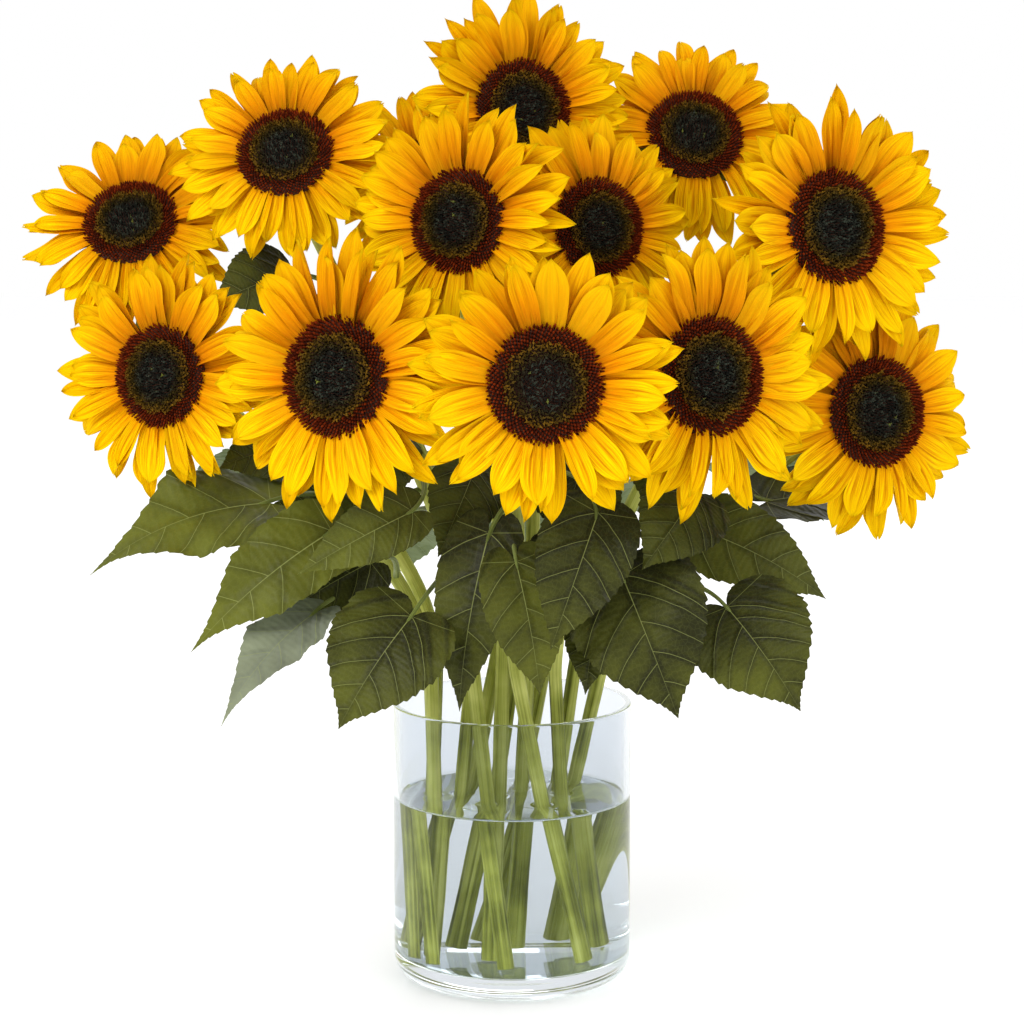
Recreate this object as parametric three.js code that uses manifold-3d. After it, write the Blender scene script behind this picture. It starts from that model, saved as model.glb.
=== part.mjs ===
// Thirteen cut sunflowers with their leaves, standing in water in a clear glass cylinder vase.
// Millimetres, +Z up, -Y is the front. The origin is the centre of the vase's flat foot.
//
// Each flower is three pieces: a green leafy stem with its bracts, a yellow ring of ray petals,
// and a dark disc of small florets. The stems pass through plain holes in the water.
import * as THREE from "three";
import { mergeVertices } from "three/addons/utils/BufferGeometryUtils.js";
import Module from "manifold-3d";

const wasm = await Module();
wasm.setup();

// ---------------------------------------------------------------- driving dimensions
const GAP = 0.3; // clearance between pieces that rest against each other
const UP = new THREE.Vector3(0, 0, 1);

const VASE = { radius: 80, height: 188, wall: 4, base: 16, corner: 14, lip: 1.2, sides: 32 };
const WATER = { level: 123, sides: 32 };

const STEM = {
  radius: 5.6,
  sides: 6,
  steps: 6,
  gather: 0.2, // how far the mouth of the vase draws in a stem, as a share of its head's place
  gatherLow: 0.0004, // lower heads lean out more, per millimetre below the reference height
  gatherHeight: 500,
  gatherDepth: 1.3, // the bunch is deeper at the mouth than the heads are, by this share
  backset: 40, // the stem stands this far behind the face of its head
  mouthHeight: 205, // where the straight foot of the stem ends
  twist: THREE.MathUtils.degToRad(52), // the bunch is turned like a hand-tied spiral
  widest: 60, // the widest stem at the mouth stands this far from the middle
  spread: 64, // its foot stands this far out, and the inner feet fan out between
  fan: 0.55,
};

const RAYS = {
  count: 20,
  length: 1.2, // length past the disc, as a share of the disc's radius
  width: 0.5,
  rootThickness: 1.8,
  thickness: 1.5,
};
const DISC = { segments: 12, height: 8, floor: 1.3, relief: 0.9 };
const CALYX = { bracts: 9, depth: 17, length: 0.62, thickness: 1.3, neck: 8.5 };
const BLADE = { thickness: 1.1, petiole: 2.2, petioleSides: 3, petioleSteps: 3 };

// Where each head is (the centre of its ring of petals), its disc's radius, and the way it faces:
// yaw turns it to the right of the front, pitch tips it up, in degrees.
const FLOWERS = {
  "01": { at: [-259, 70, 503], disc: 34, yaw: -6, pitch: 38 },
  "02": { at: [-151, 40, 551], disc: 34, yaw: -6, pitch: 32 },
  "03": { at: [6, 46, 581], disc: 35, yaw: 21, pitch: 10 },
  "04": { at: [124, 84, 562], disc: 34.5, yaw: 6, pitch: 30 },
  "05": { at: [212, 15, 504], disc: 40, yaw: 28, pitch: 8 },
  "06": { at: [-33, -40, 511], disc: 35.5, yaw: -28, pitch: 9 },
  "07": { at: [55, -8, 505], disc: 34, yaw: 28, pitch: 9 },
  "08": { at: [-231, 0, 407], disc: 35.5, yaw: -26, pitch: 6 },
  "09": { at: [-109, -95, 416], disc: 40, yaw: -28, pitch: 8 },
  "10": { at: [20, -150, 417], disc: 38, yaw: 6, pitch: 6 },
  "11": { at: [124, -80, 415], disc: 40, yaw: 28, pitch: 8 },
  "12": { at: [243, 25, 380], disc: 38.5, yaw: 26, pitch: 6 },
  "13": { at: [-61, 116, 532], disc: 30, yaw: -10, pitch: 24 },
};

// The leaves of each stem: the height on the stem where the petiole leaves it, the base and the
// tip of the blade, the blade's width, and the way its upper face looks.
const LEAVES = {
  "01": [
    { height: 325, base: [-165, 118, 330], tip: [-240, 165, 285], width: 74, looks: [0, 0.4, 1] },
  ],
  "02": [
    { height: 300, base: [-78, 112, 292], tip: [-112, 185, 226], width: 82, looks: [0, 0.8, 0.5] },
    { height: 450, base: [-150, 45, 470], tip: [-200, 12, 452], width: 56, looks: [0, -1, 0.5] },
    { height: 345, base: [-84, 22, 362], tip: [-98, -4, 314], width: 54, looks: [0, -1, 0.1] },
  ],
  "03": [{ height: 300, base: [8, 108, 300], tip: [2, 190, 245], width: 80, looks: [0, 0.8, 0.5] }],
  "04": [
    { height: 330, base: [88, 120, 322], tip: [130, 195, 268], width: 76, looks: [0, 0.7, 0.6] },
  ],
  "05": [
    { height: 292, base: [122, 6, 304], tip: [210, -5, 258], width: 64, looks: [0, -0.8, 0.6] },
    { height: 350, base: [150, 92, 338], tip: [222, 130, 290], width: 72, looks: [0, 0.5, 0.9] },
    { height: 345, base: [106, 4, 362], tip: [96, -16, 308], width: 54, looks: [0, -1, 0.1] },
  ],
  "07": [
    { height: 362, base: [27, -14, 354], tip: [40, -44, 298], width: 46, looks: [0, -1, 0.1] },
    { height: 285, base: [26, -27, 300], tip: [30, -35, 236], width: 36, looks: [0, -1, 0.1] },
  ],
  "06": [{ height: 345, base: [-24, -34, 350], tip: [-48, -66, 296], width: 52, looks: [0, -1, 0] }],
  "08": [
    { height: 345, base: [-150, 22, 356], tip: [-196, 8, 344], width: 50, looks: [0, -0.8, 0.6] },
    { height: 315, base: [-157, -14, 324], tip: [-278, -34, 279], width: 84, looks: [0, -0.6, 1] },
    { height: 288, base: [-108, 12, 304], tip: [-186, 22, 296], width: 56, looks: [0, -0.8, 0.6] },
    { height: 262, base: [-91, -45, 290], tip: [-150, -36, 253], width: 52, looks: [0, -1, 0.4] },
    { height: 240, base: [-126, -60, 260], tip: [-187, -95, 191], width: 52, looks: [-1, -1, 0.5] },
  ],
  "09": [
    { height: 330, base: [-115, -50, 312], tip: [-208, -75, 235], width: 60, looks: [0, -1, 0.5] },
    { height: 350, base: [-62, -88, 330], tip: [-136, -108, 292], width: 42, looks: [0, -1, 0.3] },
    { height: 275, base: [-63, -95, 264], tip: [-110, -121, 195], width: 80, looks: [-0.25, -1, 0.3] },
  ],
  10: [
    { height: 332, base: [-14, -76, 316], tip: [-34, -88, 199], width: 54, looks: [-0.3, -1, 0] },
    { height: 300, base: [2, -96, 300], tip: [18, -98, 212], width: 56, looks: [0.2, -1, 0] },
    { height: 345, base: [42, -66, 348], tip: [70, -80, 318], width: 44, looks: [0, -1, 0.2] },
    { height: 325, base: [55, -100, 332], tip: [24, -127, 247], width: 64, looks: [0, -1, 0.2] },
  ],
  11: [
    { height: 290, base: [70, -78, 288], tip: [106, -108, 199], width: 92, looks: [0, -1, 0.2] },
    { height: 245, base: [54, -60, 262], tip: [47, -88, 210], width: 40, looks: [0, -1, 0] },
    { height: 352, base: [119, -56, 336], tip: [83, -90, 292], width: 62, looks: [0.2, -1, 0.5] },
  ],
  12: [
    { height: 256, base: [139, -52, 262], tip: [186, -86, 199], width: 86, looks: [0.2, -1, 0.2] },
    { height: 320, base: [170, 30, 318], tip: [256, 76, 300], width: 66, looks: [0, -0.5, 1] },
  ],
  13: [{ height: 330, base: [-32, 155, 330], tip: [-48, 222, 268], width: 78, looks: [0, 0.8, 0.6] }],
};

// ---------------------------------------------------------------- materials
const leafGreen = new THREE.MeshStandardMaterial({ color: 0x4a5a1c, roughness: 0.6 });
const rayYellow = new THREE.MeshStandardMaterial({ color: 0xffc208, roughness: 0.55 });
const discBrown = new THREE.MeshStandardMaterial({ color: 0x33150c, roughness: 0.9 });
const clearGlass = new THREE.MeshStandardMaterial({
  color: 0xe6edf0,
  roughness: 0.05,
  transparent: true,
  opacity: 0.3,
});
const clearWater = new THREE.MeshStandardMaterial({
  color: 0xe9f1ee,
  roughness: 0.02,
  transparent: true,
  opacity: 0.25,
});

// ---------------------------------------------------------------- solids and meshes
// A seeded random number between low and high, so that every build is the same.
function randomSource(seed) {
  let state = seed;
  return (low, high) => {
    state = (state + 0x6d2b79f5) | 0;
    let t = Math.imul(state ^ (state >>> 15), 1 | state);
    t = (t + Math.imul(t ^ (t >>> 7), 61 | t)) ^ t;
    return low + ((high - low) * ((t ^ (t >>> 14)) >>> 0)) / 4294967296;
  };
}

// A closed three.js geometry as a manifold-3d solid.
function solidOf(geometry) {
  const bare = geometry.clone();
  bare.deleteAttribute("normal");
  bare.deleteAttribute("uv");
  const merged = mergeVertices(bare, 1e-3);
  const mesh = new wasm.Mesh({
    numProp: 3,
    vertProperties: new Float32Array(merged.attributes.position.array),
    triVerts: new Uint32Array(merged.index.array),
  });
  return new wasm.Manifold(mesh);
}

// A manifold-3d solid as a three.js geometry.
function geometryOf(solid) {
  const { numProp, vertProperties, triVerts } = solid.getMesh();
  const count = vertProperties.length / numProp;
  const positions = new Float32Array(count * 3);
  for (let i = 0; i < count; i++) {
    positions.set(vertProperties.subarray(i * numProp, i * numProp + 3), i * 3);
  }
  const geometry = new THREE.BufferGeometry();
  geometry.setAttribute("position", new THREE.BufferAttribute(positions, 3));
  geometry.setIndex(new THREE.BufferAttribute(new Uint32Array(triVerts), 1));
  geometry.computeVertexNormals();
  return geometry;
}

function namedMesh(name, geometry, material) {
  const mesh = new THREE.Mesh(geometry, material);
  mesh.name = name;
  return mesh;
}

// A skin is built point by point. Rings of points run round the body the same way, and each
// ring is joined to the next.
class Skin {
  constructor() {
    this.points = [];
    this.faces = [];
  }

  point(vector) {
    this.points.push(vector.x, vector.y, vector.z);
    return this.points.length / 3 - 1;
  }

  ring(vectors) {
    return vectors.map((vector) => this.point(vector));
  }

  join(ring, next) {
    for (let i = 0; i < ring.length; i++) {
      const j = (i + 1) % ring.length;
      this.faces.push(ring[i], ring[j], next[j], ring[i], next[j], next[i]);
    }
  }

  close(ring, tip) {
    for (let i = 0; i < ring.length; i++) {
      this.faces.push(ring[i], ring[(i + 1) % ring.length], tip);
    }
  }

  geometry() {
    const geometry = new THREE.BufferGeometry();
    geometry.setAttribute("position", new THREE.Float32BufferAttribute(this.points, 3));
    geometry.setIndex(this.faces);
    return geometry;
  }
}

// A point given by radius, angle and height round the flower's axis.
function polar(radius, angle, height) {
  return new THREE.Vector3(radius * Math.cos(angle), radius * Math.sin(angle), height);
}

// A round rod through the given points: radii[i] is its radius at points[i].
function rod(points, radii, sides) {
  const skin = new Skin();
  const guide = new THREE.Vector3(1, 0, 0);
  const rings = points.map((point, i) => {
    const before = points[Math.max(i - 1, 0)];
    const after = points[Math.min(i + 1, points.length - 1)];
    const along = after.clone().sub(before).normalize();
    guide.addScaledVector(along, -guide.dot(along)).normalize();
    const side = along.clone().cross(guide);
    return skin.ring(
      Array.from({ length: sides }, (_, k) => {
        const angle = (k / sides) * 2 * Math.PI;
        return point
          .clone()
          .addScaledVector(guide, radii[i] * Math.cos(angle))
          .addScaledVector(side, radii[i] * Math.sin(angle));
      }),
    );
  });
  for (let i = 0; i + 1 < rings.length; i++) skin.join(rings[i], rings[i + 1]);
  skin.close([...rings[0]].reverse(), skin.point(points[0]));
  skin.close(rings.at(-1), skin.point(points.at(-1)));
  return skin.geometry();
}

// ---------------------------------------------------------------- vase and water
// The vase is one thick-bottomed glass cylinder with a rounded heel and a rounded lip.
function vaseGeometry() {
  const { radius, height, wall, base, corner, lip, sides } = VASE;
  const inner = radius - wall;
  const heel = [0, 45, 90].map((degrees) => {
    const angle = THREE.MathUtils.degToRad(degrees);
    const out = radius - corner + corner * Math.sin(angle);
    return new THREE.Vector2(out, corner - corner * Math.cos(angle));
  });
  const profile = [
    new THREE.Vector2(0, 0),
    ...heel,
    new THREE.Vector2(radius, height - lip),
    new THREE.Vector2(radius - lip, height),
    new THREE.Vector2(inner + lip, height),
    new THREE.Vector2(inner, height - lip),
    new THREE.Vector2(inner, base + lip * 4),
    new THREE.Vector2(inner - lip * 4, base),
    new THREE.Vector2(0, base),
  ];
  return upright(new THREE.LatheGeometry(profile, sides));
}

// Lathes turn about Y; the vase stands along Z.
function upright(geometry) {
  return geometry.rotateX(Math.PI / 2);
}

// The water fills the vase up to its level, less a plain hole for each stem.
function waterGeometry(stems) {
  const inner = VASE.radius - VASE.wall - GAP;
  const fillet = VASE.lip * 4;
  const profile = [
    new THREE.Vector2(0, VASE.base + GAP),
    new THREE.Vector2(inner - fillet, VASE.base + GAP),
    new THREE.Vector2(inner, VASE.base + GAP + fillet),
    new THREE.Vector2(inner, WATER.level),
    new THREE.Vector2(0, WATER.level),
  ];
  let water = solidOf(upright(new THREE.LatheGeometry(profile, WATER.sides)));
  for (const { foot, mouth } of stems) {
    const below = foot.clone().lerp(mouth, -0.1);
    const radius = STEM.radius + GAP;
    water = water.subtract(solidOf(rod([below, mouth], [radius, radius], STEM.sides)));
  }
  return geometryOf(water);
}

// ---------------------------------------------------------------- flower heads
// In a head's own frame +Z is the way it faces and the petals lie near the plane z = 0.

// One closed skin holds every ray petal: a thin ring under the disc, and a keeled tongue for
// each petal. Even petals lie in front and odd ones behind, so neighbours overlap.
function rayGeometry(disc, random) {
  const { count, length, width, rootThickness, thickness } = RAYS;
  const step = (2 * Math.PI) / count;
  const half = rootThickness / 2;
  const skin = new Skin();
  const rows = { inner: [], rootTop: [], rootBottom: [] };
  for (let k = 0; k < count; k++) {
    const angle = (k - 0.5) * step;
    rows.inner.push(skin.point(polar(disc * 0.68, angle, 0)));
    rows.rootTop.push(skin.point(polar(disc * 0.96, angle, half)));
    rows.rootBottom.push(skin.point(polar(disc * 0.96, angle, -half)));
  }
  for (let k = 0; k < count; k++) {
    const next = (k + 1) % count;
    const corner = (row) => [rows[row][k], rows[row][next]];
    const [inner, innerNext] = corner("inner");
    const [rootTop, rootTopNext] = corner("rootTop");
    const [rootBottom, rootBottomNext] = corner("rootBottom");
    skin.faces.push(inner, rootTop, rootTopNext, inner, rootTopNext, innerNext);
    skin.faces.push(inner, rootBottomNext, rootBottom, inner, innerNext, rootBottomNext);

    const front = k % 2 === 0;
    const reach = disc * length * random(0.92, 1.05) * (front ? 0.96 : 1.04);
    const lift = front ? random(2.2, 4.6) : random(-3.4, -1.6);
    const swing = random(-0.5, 0.5) * step;
    const broad = disc * width * random(0.92, 1.08);
    const section = (share, breadth, rise) => {
      const angle = k * step + swing * share;
      const radius = disc * 0.97 + reach * share;
      const across = polar(1, angle + Math.PI / 2, 0);
      const middle = polar(radius, angle, lift * rise);
      const edge = 0.5 * broad * breadth;
      const at = (out, height) =>
        middle.clone().addScaledVector(across, out).addScaledVector(UP, height);
      return skin.ring([
        at(-edge, 0),
        at(0, -thickness * 0.75),
        at(edge, 0),
        at(0, thickness * 0.5),
      ]);
    };
    const root = [rootTop, rootBottom, rootBottomNext, rootTopNext];
    const waist = section(0.34, 0.86, 0.9);
    const shoulder = section(0.7, 0.8, 1.0);
    skin.faces.push(root[0], root[1], waist[0], root[1], waist[1], waist[0]);
    skin.faces.push(root[1], root[2], waist[1], root[2], waist[2], waist[1]);
    skin.faces.push(root[2], root[3], waist[2], root[3], waist[3], waist[2]);
    skin.faces.push(root[3], root[0], waist[3], root[0], waist[0], waist[3]);
    skin.join(waist, shoulder);
    const tipAngle = k * step + swing;
    skin.close(shoulder, skin.point(polar(disc * 0.97 + reach, tipAngle, lift * 0.5)));
  }
  return skin.geometry();
}

// The disc: a shallow cushion of florets in relief. The open outer florets stand highest, a
// groove runs inside them, and the unopened ones crown the middle.
function discGeometry(disc) {
  const { segments, height, floor, relief } = DISC;
  const rows = [
    { radius: 1.0, top: 0.5 },
    { radius: 0.86, top: 1.0 },
    { radius: 0.64, top: 0.78 },
    { radius: 0.36, top: 0.9 },
  ];
  const skin = new Skin();
  const turn = (k, row) => ((k + 0.5 * (row % 2)) / segments) * 2 * Math.PI;
  const floorRing = [];
  const rings = rows.map(() => []);
  for (let k = 0; k < segments; k++) {
    floorRing.push(skin.point(polar(disc * 0.9, turn(k, 0), floor)));
    rows.forEach(({ radius, top }, row) => {
      const bump = relief * ((k + row) % 2 === 0 ? 1 : -1);
      rings[row].push(skin.point(polar(disc * radius, turn(k, row), height * top + bump)));
    });
  }
  const bottom = skin.point(new THREE.Vector3(0, 0, floor));
  const crown = skin.point(new THREE.Vector3(0, 0, height * 0.95));
  skin.close([...floorRing].reverse(), bottom);
  skin.join(floorRing, rings[0]);
  for (let row = 0; row + 1 < rings.length; row++) skin.join(rings[row], rings[row + 1]);
  skin.close(rings.at(-1), crown);
  return skin.geometry();
}

// The calyx: the green cup behind the petals, with a pointed bract for each tongue.
function calyxGeometry(disc, random) {
  const { bracts, depth, length, thickness, neck } = CALYX;
  const step = (2 * Math.PI) / bracts;
  const top = -(RAYS.rootThickness / 2 + GAP);
  const rim = disc * 0.9;
  const skin = new Skin();
  const rimTop = [];
  const rimBottom = [];
  const neckRing = [];
  for (let k = 0; k < bracts; k++) {
    const angle = (k - 0.5) * step;
    rimTop.push(skin.point(polar(rim, angle, top)));
    rimBottom.push(skin.point(polar(rim * 0.93, angle, top - 5)));
    neckRing.push(skin.point(polar(neck, angle, -depth)));
  }
  skin.close(rimTop, skin.point(new THREE.Vector3(0, 0, top)));
  skin.join(neckRing, rimBottom);
  skin.close([...neckRing].reverse(), skin.point(new THREE.Vector3(0, 0, -depth)));
  for (let k = 0; k < bracts; k++) {
    const next = (k + 1) % bracts;
    const reach = disc * length * random(0.8, 1.1);
    const droop = random(6, 11);
    const angle = k * step;
    const middle = polar(rim + reach * 0.4, angle, top - 4.5 - droop * 0.25);
    const across = polar(1, angle + Math.PI / 2, 0);
    const edge = rim * step * 0.42;
    const belly = skin.ring([
      middle.clone().addScaledVector(across, -edge),
      middle.clone().addScaledVector(UP, -thickness),
      middle.clone().addScaledVector(across, edge),
      middle.clone().addScaledVector(UP, thickness * 0.5),
    ]);
    const root = [rimTop[k], rimBottom[k], rimBottom[next], rimTop[next]];
    skin.faces.push(root[0], root[1], belly[0], root[1], belly[1], belly[0]);
    skin.faces.push(root[1], root[2], belly[1], root[2], belly[2], belly[1]);
    skin.faces.push(root[2], root[3], belly[2], root[3], belly[3], belly[2]);
    skin.faces.push(root[3], root[0], belly[3], root[0], belly[0], belly[3]);
    skin.close(belly, skin.point(polar(rim + reach, angle, top - 4.5 - droop)));
  }
  return skin.geometry();
}

// The turn and place of a head: its petals face the front, turned by yaw and tipped by pitch.
function headMatrix({ at, yaw, pitch }) {
  const turn = new THREE.Quaternion()
    .setFromAxisAngle(UP, THREE.MathUtils.degToRad(yaw))
    .multiply(
      new THREE.Quaternion().setFromAxisAngle(
        new THREE.Vector3(1, 0, 0),
        THREE.MathUtils.degToRad(90 - pitch),
      ),
    );
  return new THREE.Matrix4().compose(
    new THREE.Vector3(...at),
    turn,
    new THREE.Vector3(1, 1, 1),
  );
}

// ---------------------------------------------------------------- stems
// A stem stands straight from its cut foot to the mouth of the vase, then curves out to its
// head and meets it square from behind.
function stemLine(flower) {
  const [x, y, z] = flower.at;
  const draw = STEM.gather + STEM.gatherLow * (STEM.gatherHeight - z);
  const mouth = new THREE.Vector3(
    x * draw,
    (y + STEM.backset) * draw * STEM.gatherDepth,
    STEM.mouthHeight,
  );
  const ring = Math.hypot(mouth.x, mouth.y) / STEM.widest;
  const foot = mouth.clone().setZ(0).applyAxisAngle(UP, STEM.twist);
  foot.setLength(STEM.spread * Math.pow(ring, STEM.fan)).setZ(VASE.base);
  const lean = mouth.clone().sub(foot).normalize();
  foot.z += GAP + STEM.radius * Math.sqrt(1 - lean.z * lean.z);

  const facing = new THREE.Vector3(0, 0, 1).transformDirection(headMatrix(flower));
  const centre = new THREE.Vector3(x, y, z);
  const end = centre.clone().addScaledVector(facing, -CALYX.depth * 0.75);
  const bend = centre.clone().addScaledVector(facing, -95);
  bend.z -= 20;
  const rise = mouth.clone().addScaledVector(lean, mouth.distanceTo(end) * 0.3);
  const curve = new THREE.CubicBezierCurve3(mouth, rise, bend, end);
  return { foot, mouth, curve };
}

function stemGeometry({ foot, curve }) {
  const points = [foot, ...curve.getSpacedPoints(STEM.steps)];
  const radii = points.map((_, i) => STEM.radius - (i > 1 ? 0.8 * (i / points.length) : 0));
  return rod(points, radii, STEM.sides);
}

// ---------------------------------------------------------------- leaves
// Half the toothed outline of a heart-shaped blade: along it from the petiole (0) to the tip
// (1), and out from the midrib (0) to half its width (1).
const LEAF_EDGE = [
  [-0.1, 0.32],
  [-0.05, 0.72],
  [0.09, 0.97],
  [0.2, 0.92],
  [0.33, 1.0],
  [0.46, 0.86],
  [0.58, 0.84],
  [0.71, 0.52],
  [0.82, 0.37],
];
const LEAF_RIB = [0.02, 0.28, 0.6];

// A leaf hangs on its petiole from the stem. The blade runs from its base to its tip and its
// upper face looks the given way; it arches along its length and folds along its midrib.
function leafGeometries(leaf, line, random) {
  const base = new THREE.Vector3(...leaf.base);
  const tip = new THREE.Vector3(...leaf.tip);
  const length = base.distanceTo(tip);
  const along = tip.clone().sub(base).normalize();
  const face = new THREE.Vector3(...leaf.looks);
  face.addScaledVector(along, -face.dot(along)).normalize();
  const across = face.clone().cross(along);
  const arch = leaf.arch ?? 0.1;
  const fold = leaf.fold ?? 0.12;
  const phase = random(0, 6);
  const at = (run, out, height) => {
    const bow = length * (arch * 4 * run * (1 - run));
    const crease = fold * Math.abs(out) * leaf.width * 0.5;
    const wave = 0.05 * leaf.width * Math.abs(out) * Math.sin(phase + 9 * run + 2 * out);
    return base
      .clone()
      .addScaledVector(along, run * length)
      .addScaledVector(across, out * leaf.width * 0.5)
      .addScaledVector(face, bow + crease + wave + height);
  };

  const half = BLADE.thickness / 2;
  const skin = new Skin();
  const sides = [-1, 1];
  const layer = (height) => ({
    rib: LEAF_RIB.map((run) => skin.point(at(run, 0, height))),
    edges: sides.map((side) =>
      LEAF_EDGE.map(([run, out]) => skin.point(at(run, side * out, height))),
    ),
    tip: skin.point(at(1, 0, height)),
  });
  const top = layer(half);
  const bottom = layer(-half);
  const cover = ({ rib, edges, tip: point }, side, flip) => {
    const edge = edges[side];
    const face3 = (a, b, c) => skin.faces.push(...(flip ? [a, c, b] : [a, b, c]));
    const fans = [
      [rib[0], 0, 2, rib[1]],
      [rib[1], 2, 5, rib[2]],
      [rib[2], 5, 8, point],
    ];
    for (const [root, from, to, next] of fans) {
      for (let i = from; i < to; i++) face3(root, edge[i], edge[i + 1]);
      face3(root, edge[to], next);
    }
  };
  cover(top, 0, false);
  cover(top, 1, true);
  cover(bottom, 0, true);
  cover(bottom, 1, false);
  const outline = ({ rib, edges, tip: point }) => [
    rib[0],
    ...edges[0],
    point,
    ...[...edges[1]].reverse(),
  ];
  skin.join(outline(bottom), outline(top));

  const from = stemPointAt(line, leaf.height);
  const reach = from.distanceTo(base);
  const root = base.clone().addScaledVector(along, -0.4 * reach).addScaledVector(face, 0.15 * reach);
  const end = at(0.08, 0, 0);
  const curve = new THREE.QuadraticBezierCurve3(from, root, end);
  const points = curve.getPoints(BLADE.petioleSteps);
  const radii = points.map(() => BLADE.petiole);
  return [skin.geometry(), rod(points, radii, BLADE.petioleSides)];
}

function stemPointAt({ mouth, curve }, height) {
  const points = [mouth, ...curve.getPoints(60)];
  return points.find((point) => point.z >= height) ?? points.at(-1);
}

// ---------------------------------------------------------------- assembly
const group = new THREE.Group();
const lines = [];
let seed = 1;
for (const [name, flower] of Object.entries(FLOWERS)) {
  const random = randomSource(seed++);
  const matrix = headMatrix(flower);
  const line = stemLine(flower);
  lines.push(line);

  const head = new THREE.Group();
  head.applyMatrix4(matrix);
  head.add(namedMesh(`rays_${name}`, rayGeometry(flower.disc, random), rayYellow));
  head.add(namedMesh(`disc_${name}`, discGeometry(flower.disc), discBrown));
  group.add(head);

  let green = solidOf(stemGeometry(line));
  green = green.add(solidOf(calyxGeometry(flower.disc, random).applyMatrix4(matrix)));
  for (const leaf of LEAVES[name] ?? []) {
    for (const piece of leafGeometries(leaf, line, random)) green = green.add(solidOf(piece));
  }
  group.add(namedMesh(`leafy_stem_${name}`, geometryOf(green), leafGreen));
}
group.add(namedMesh("vase", vaseGeometry(), clearGlass));
group.add(namedMesh("water", waterGeometry(lines), clearWater));

export default group;
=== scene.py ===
"""Thirteen cut sunflowers with their leaves, standing in water in a clear glass cylinder vase."""
import math
import random
from functools import partial, reduce

import bmesh
import bpy
from mathutils import Matrix, Quaternion, Vector
from mathutils.geometry import interpolate_bezier


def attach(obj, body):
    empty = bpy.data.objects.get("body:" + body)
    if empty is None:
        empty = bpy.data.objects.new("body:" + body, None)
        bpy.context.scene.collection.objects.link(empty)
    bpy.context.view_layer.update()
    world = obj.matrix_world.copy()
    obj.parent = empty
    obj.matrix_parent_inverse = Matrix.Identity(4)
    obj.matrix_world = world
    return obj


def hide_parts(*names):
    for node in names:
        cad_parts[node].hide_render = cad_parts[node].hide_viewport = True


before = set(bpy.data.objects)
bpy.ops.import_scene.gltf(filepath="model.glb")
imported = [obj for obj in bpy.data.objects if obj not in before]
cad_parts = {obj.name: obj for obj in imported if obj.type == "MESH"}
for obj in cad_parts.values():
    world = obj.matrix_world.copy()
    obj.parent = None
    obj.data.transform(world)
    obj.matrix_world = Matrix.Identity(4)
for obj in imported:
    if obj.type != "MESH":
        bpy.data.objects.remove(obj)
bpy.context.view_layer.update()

# ------------------------------------------------------------------ camera
# The photograph looks slightly down on the bunch, from about two metres in front of it.
CAMERA_DISTANCE = 2.0
CAMERA_HEIGHT_ANGLE = math.radians(8.5)
AIM_HEIGHT = 0.3159
SENSOR_WIDTH = 36
LENS_WIDTHS = 3000 / 1024  # focal length, in widths of the picture


def new_object(name, data):
    """Puts a new object with this data into the scene."""
    made = bpy.data.objects.new(name, data)
    bpy.context.scene.collection.objects.link(made)
    return made


lens = bpy.data.cameras.new("camera")
lens.sensor_width = SENSOR_WIDTH
lens.lens = SENSOR_WIDTH * LENS_WIDTHS
lens.clip_end = 50
camera = new_object("camera", lens)
camera.location = (
    0,
    -CAMERA_DISTANCE * math.cos(CAMERA_HEIGHT_ANGLE),
    AIM_HEIGHT + CAMERA_DISTANCE * math.sin(CAMERA_HEIGHT_ANGLE),
)
camera.rotation_euler = (math.pi / 2 - CAMERA_HEIGHT_ANGLE, 0, 0)
bpy.context.scene.camera = camera
bpy.context.scene.view_settings.view_transform = "Standard"

# ------------------------------------------------------------------ glass vase
# A straight clear glass cylinder with a thick bottom, blown in a mould: its heel is rounded,
# its lip is fire-polished, and the glass is a trace blue-grey.
MM = 0.001
VASE_RADIUS = 80 * MM
VASE_HEIGHT = 188 * MM
VASE_WALL = 4 * MM
VASE_BASE = 16 * MM
VASE_HEEL = 14 * MM
VASE_FILLET = 5 * MM
VASE_LIP = 1.2 * MM
VASE_SIDES = 160
GLASS_TINT = (0.76, 0.795, 0.83)
GLASS_IOR = 1.47
CREASE = math.radians(50)  # edges sharper than this stay sharp
PASSING_TINT = (0.96, 0.975, 0.97)  # of light that goes straight through
TRAPPED_BOUNCES = 1.5  # light that bounced more often than this is let out of the glass


def finish_piece(name, mesh, nodes, materials=()):
    """Makes the mesh a piece of the object that stands for its CAD nodes."""
    piece = new_object(name, mesh)
    for material in materials:
        mesh.materials.append(material)
    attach(piece, "root")
    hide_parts(*nodes)


def mesh_of(name, form, turn_out=True, smooth=True):
    """The plain mesh of a form, with its faces turned outwards and smooth up to a crease."""
    if turn_out:
        bmesh.ops.recalc_face_normals(form, faces=form.faces)
    mesh = bpy.data.meshes.new(name)
    form.to_mesh(mesh)
    form.free()
    if smooth:
        mesh.shade_smooth()
        mesh.set_sharp_from_angle(angle=CREASE)
    return mesh


def turned_mesh(name, profile, sides):
    """A closed body turned about Z from (radius, height) points that start and end on the axis."""
    form = bmesh.new()
    turns = [2 * math.pi * k / sides for k in range(sides)]
    rows = []
    for radius, height in profile:
        if radius < 1e-7:
            rows.append([form.verts.new((0, 0, height))])
            continue
        rows.append([form.verts.new((radius * math.cos(a), radius * math.sin(a), height)) for a in turns])
    for low, high in zip(rows, rows[1:]):
        for k in range(sides):
            n = (k + 1) % sides
            corners = [low[k % len(low)], low[n % len(low)], high[n % len(high)], high[k % len(high)]]
            corners = list(dict.fromkeys(corners))
            if len(corners) > 2:
                form.faces.new(corners)
    return mesh_of(name, form)


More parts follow.
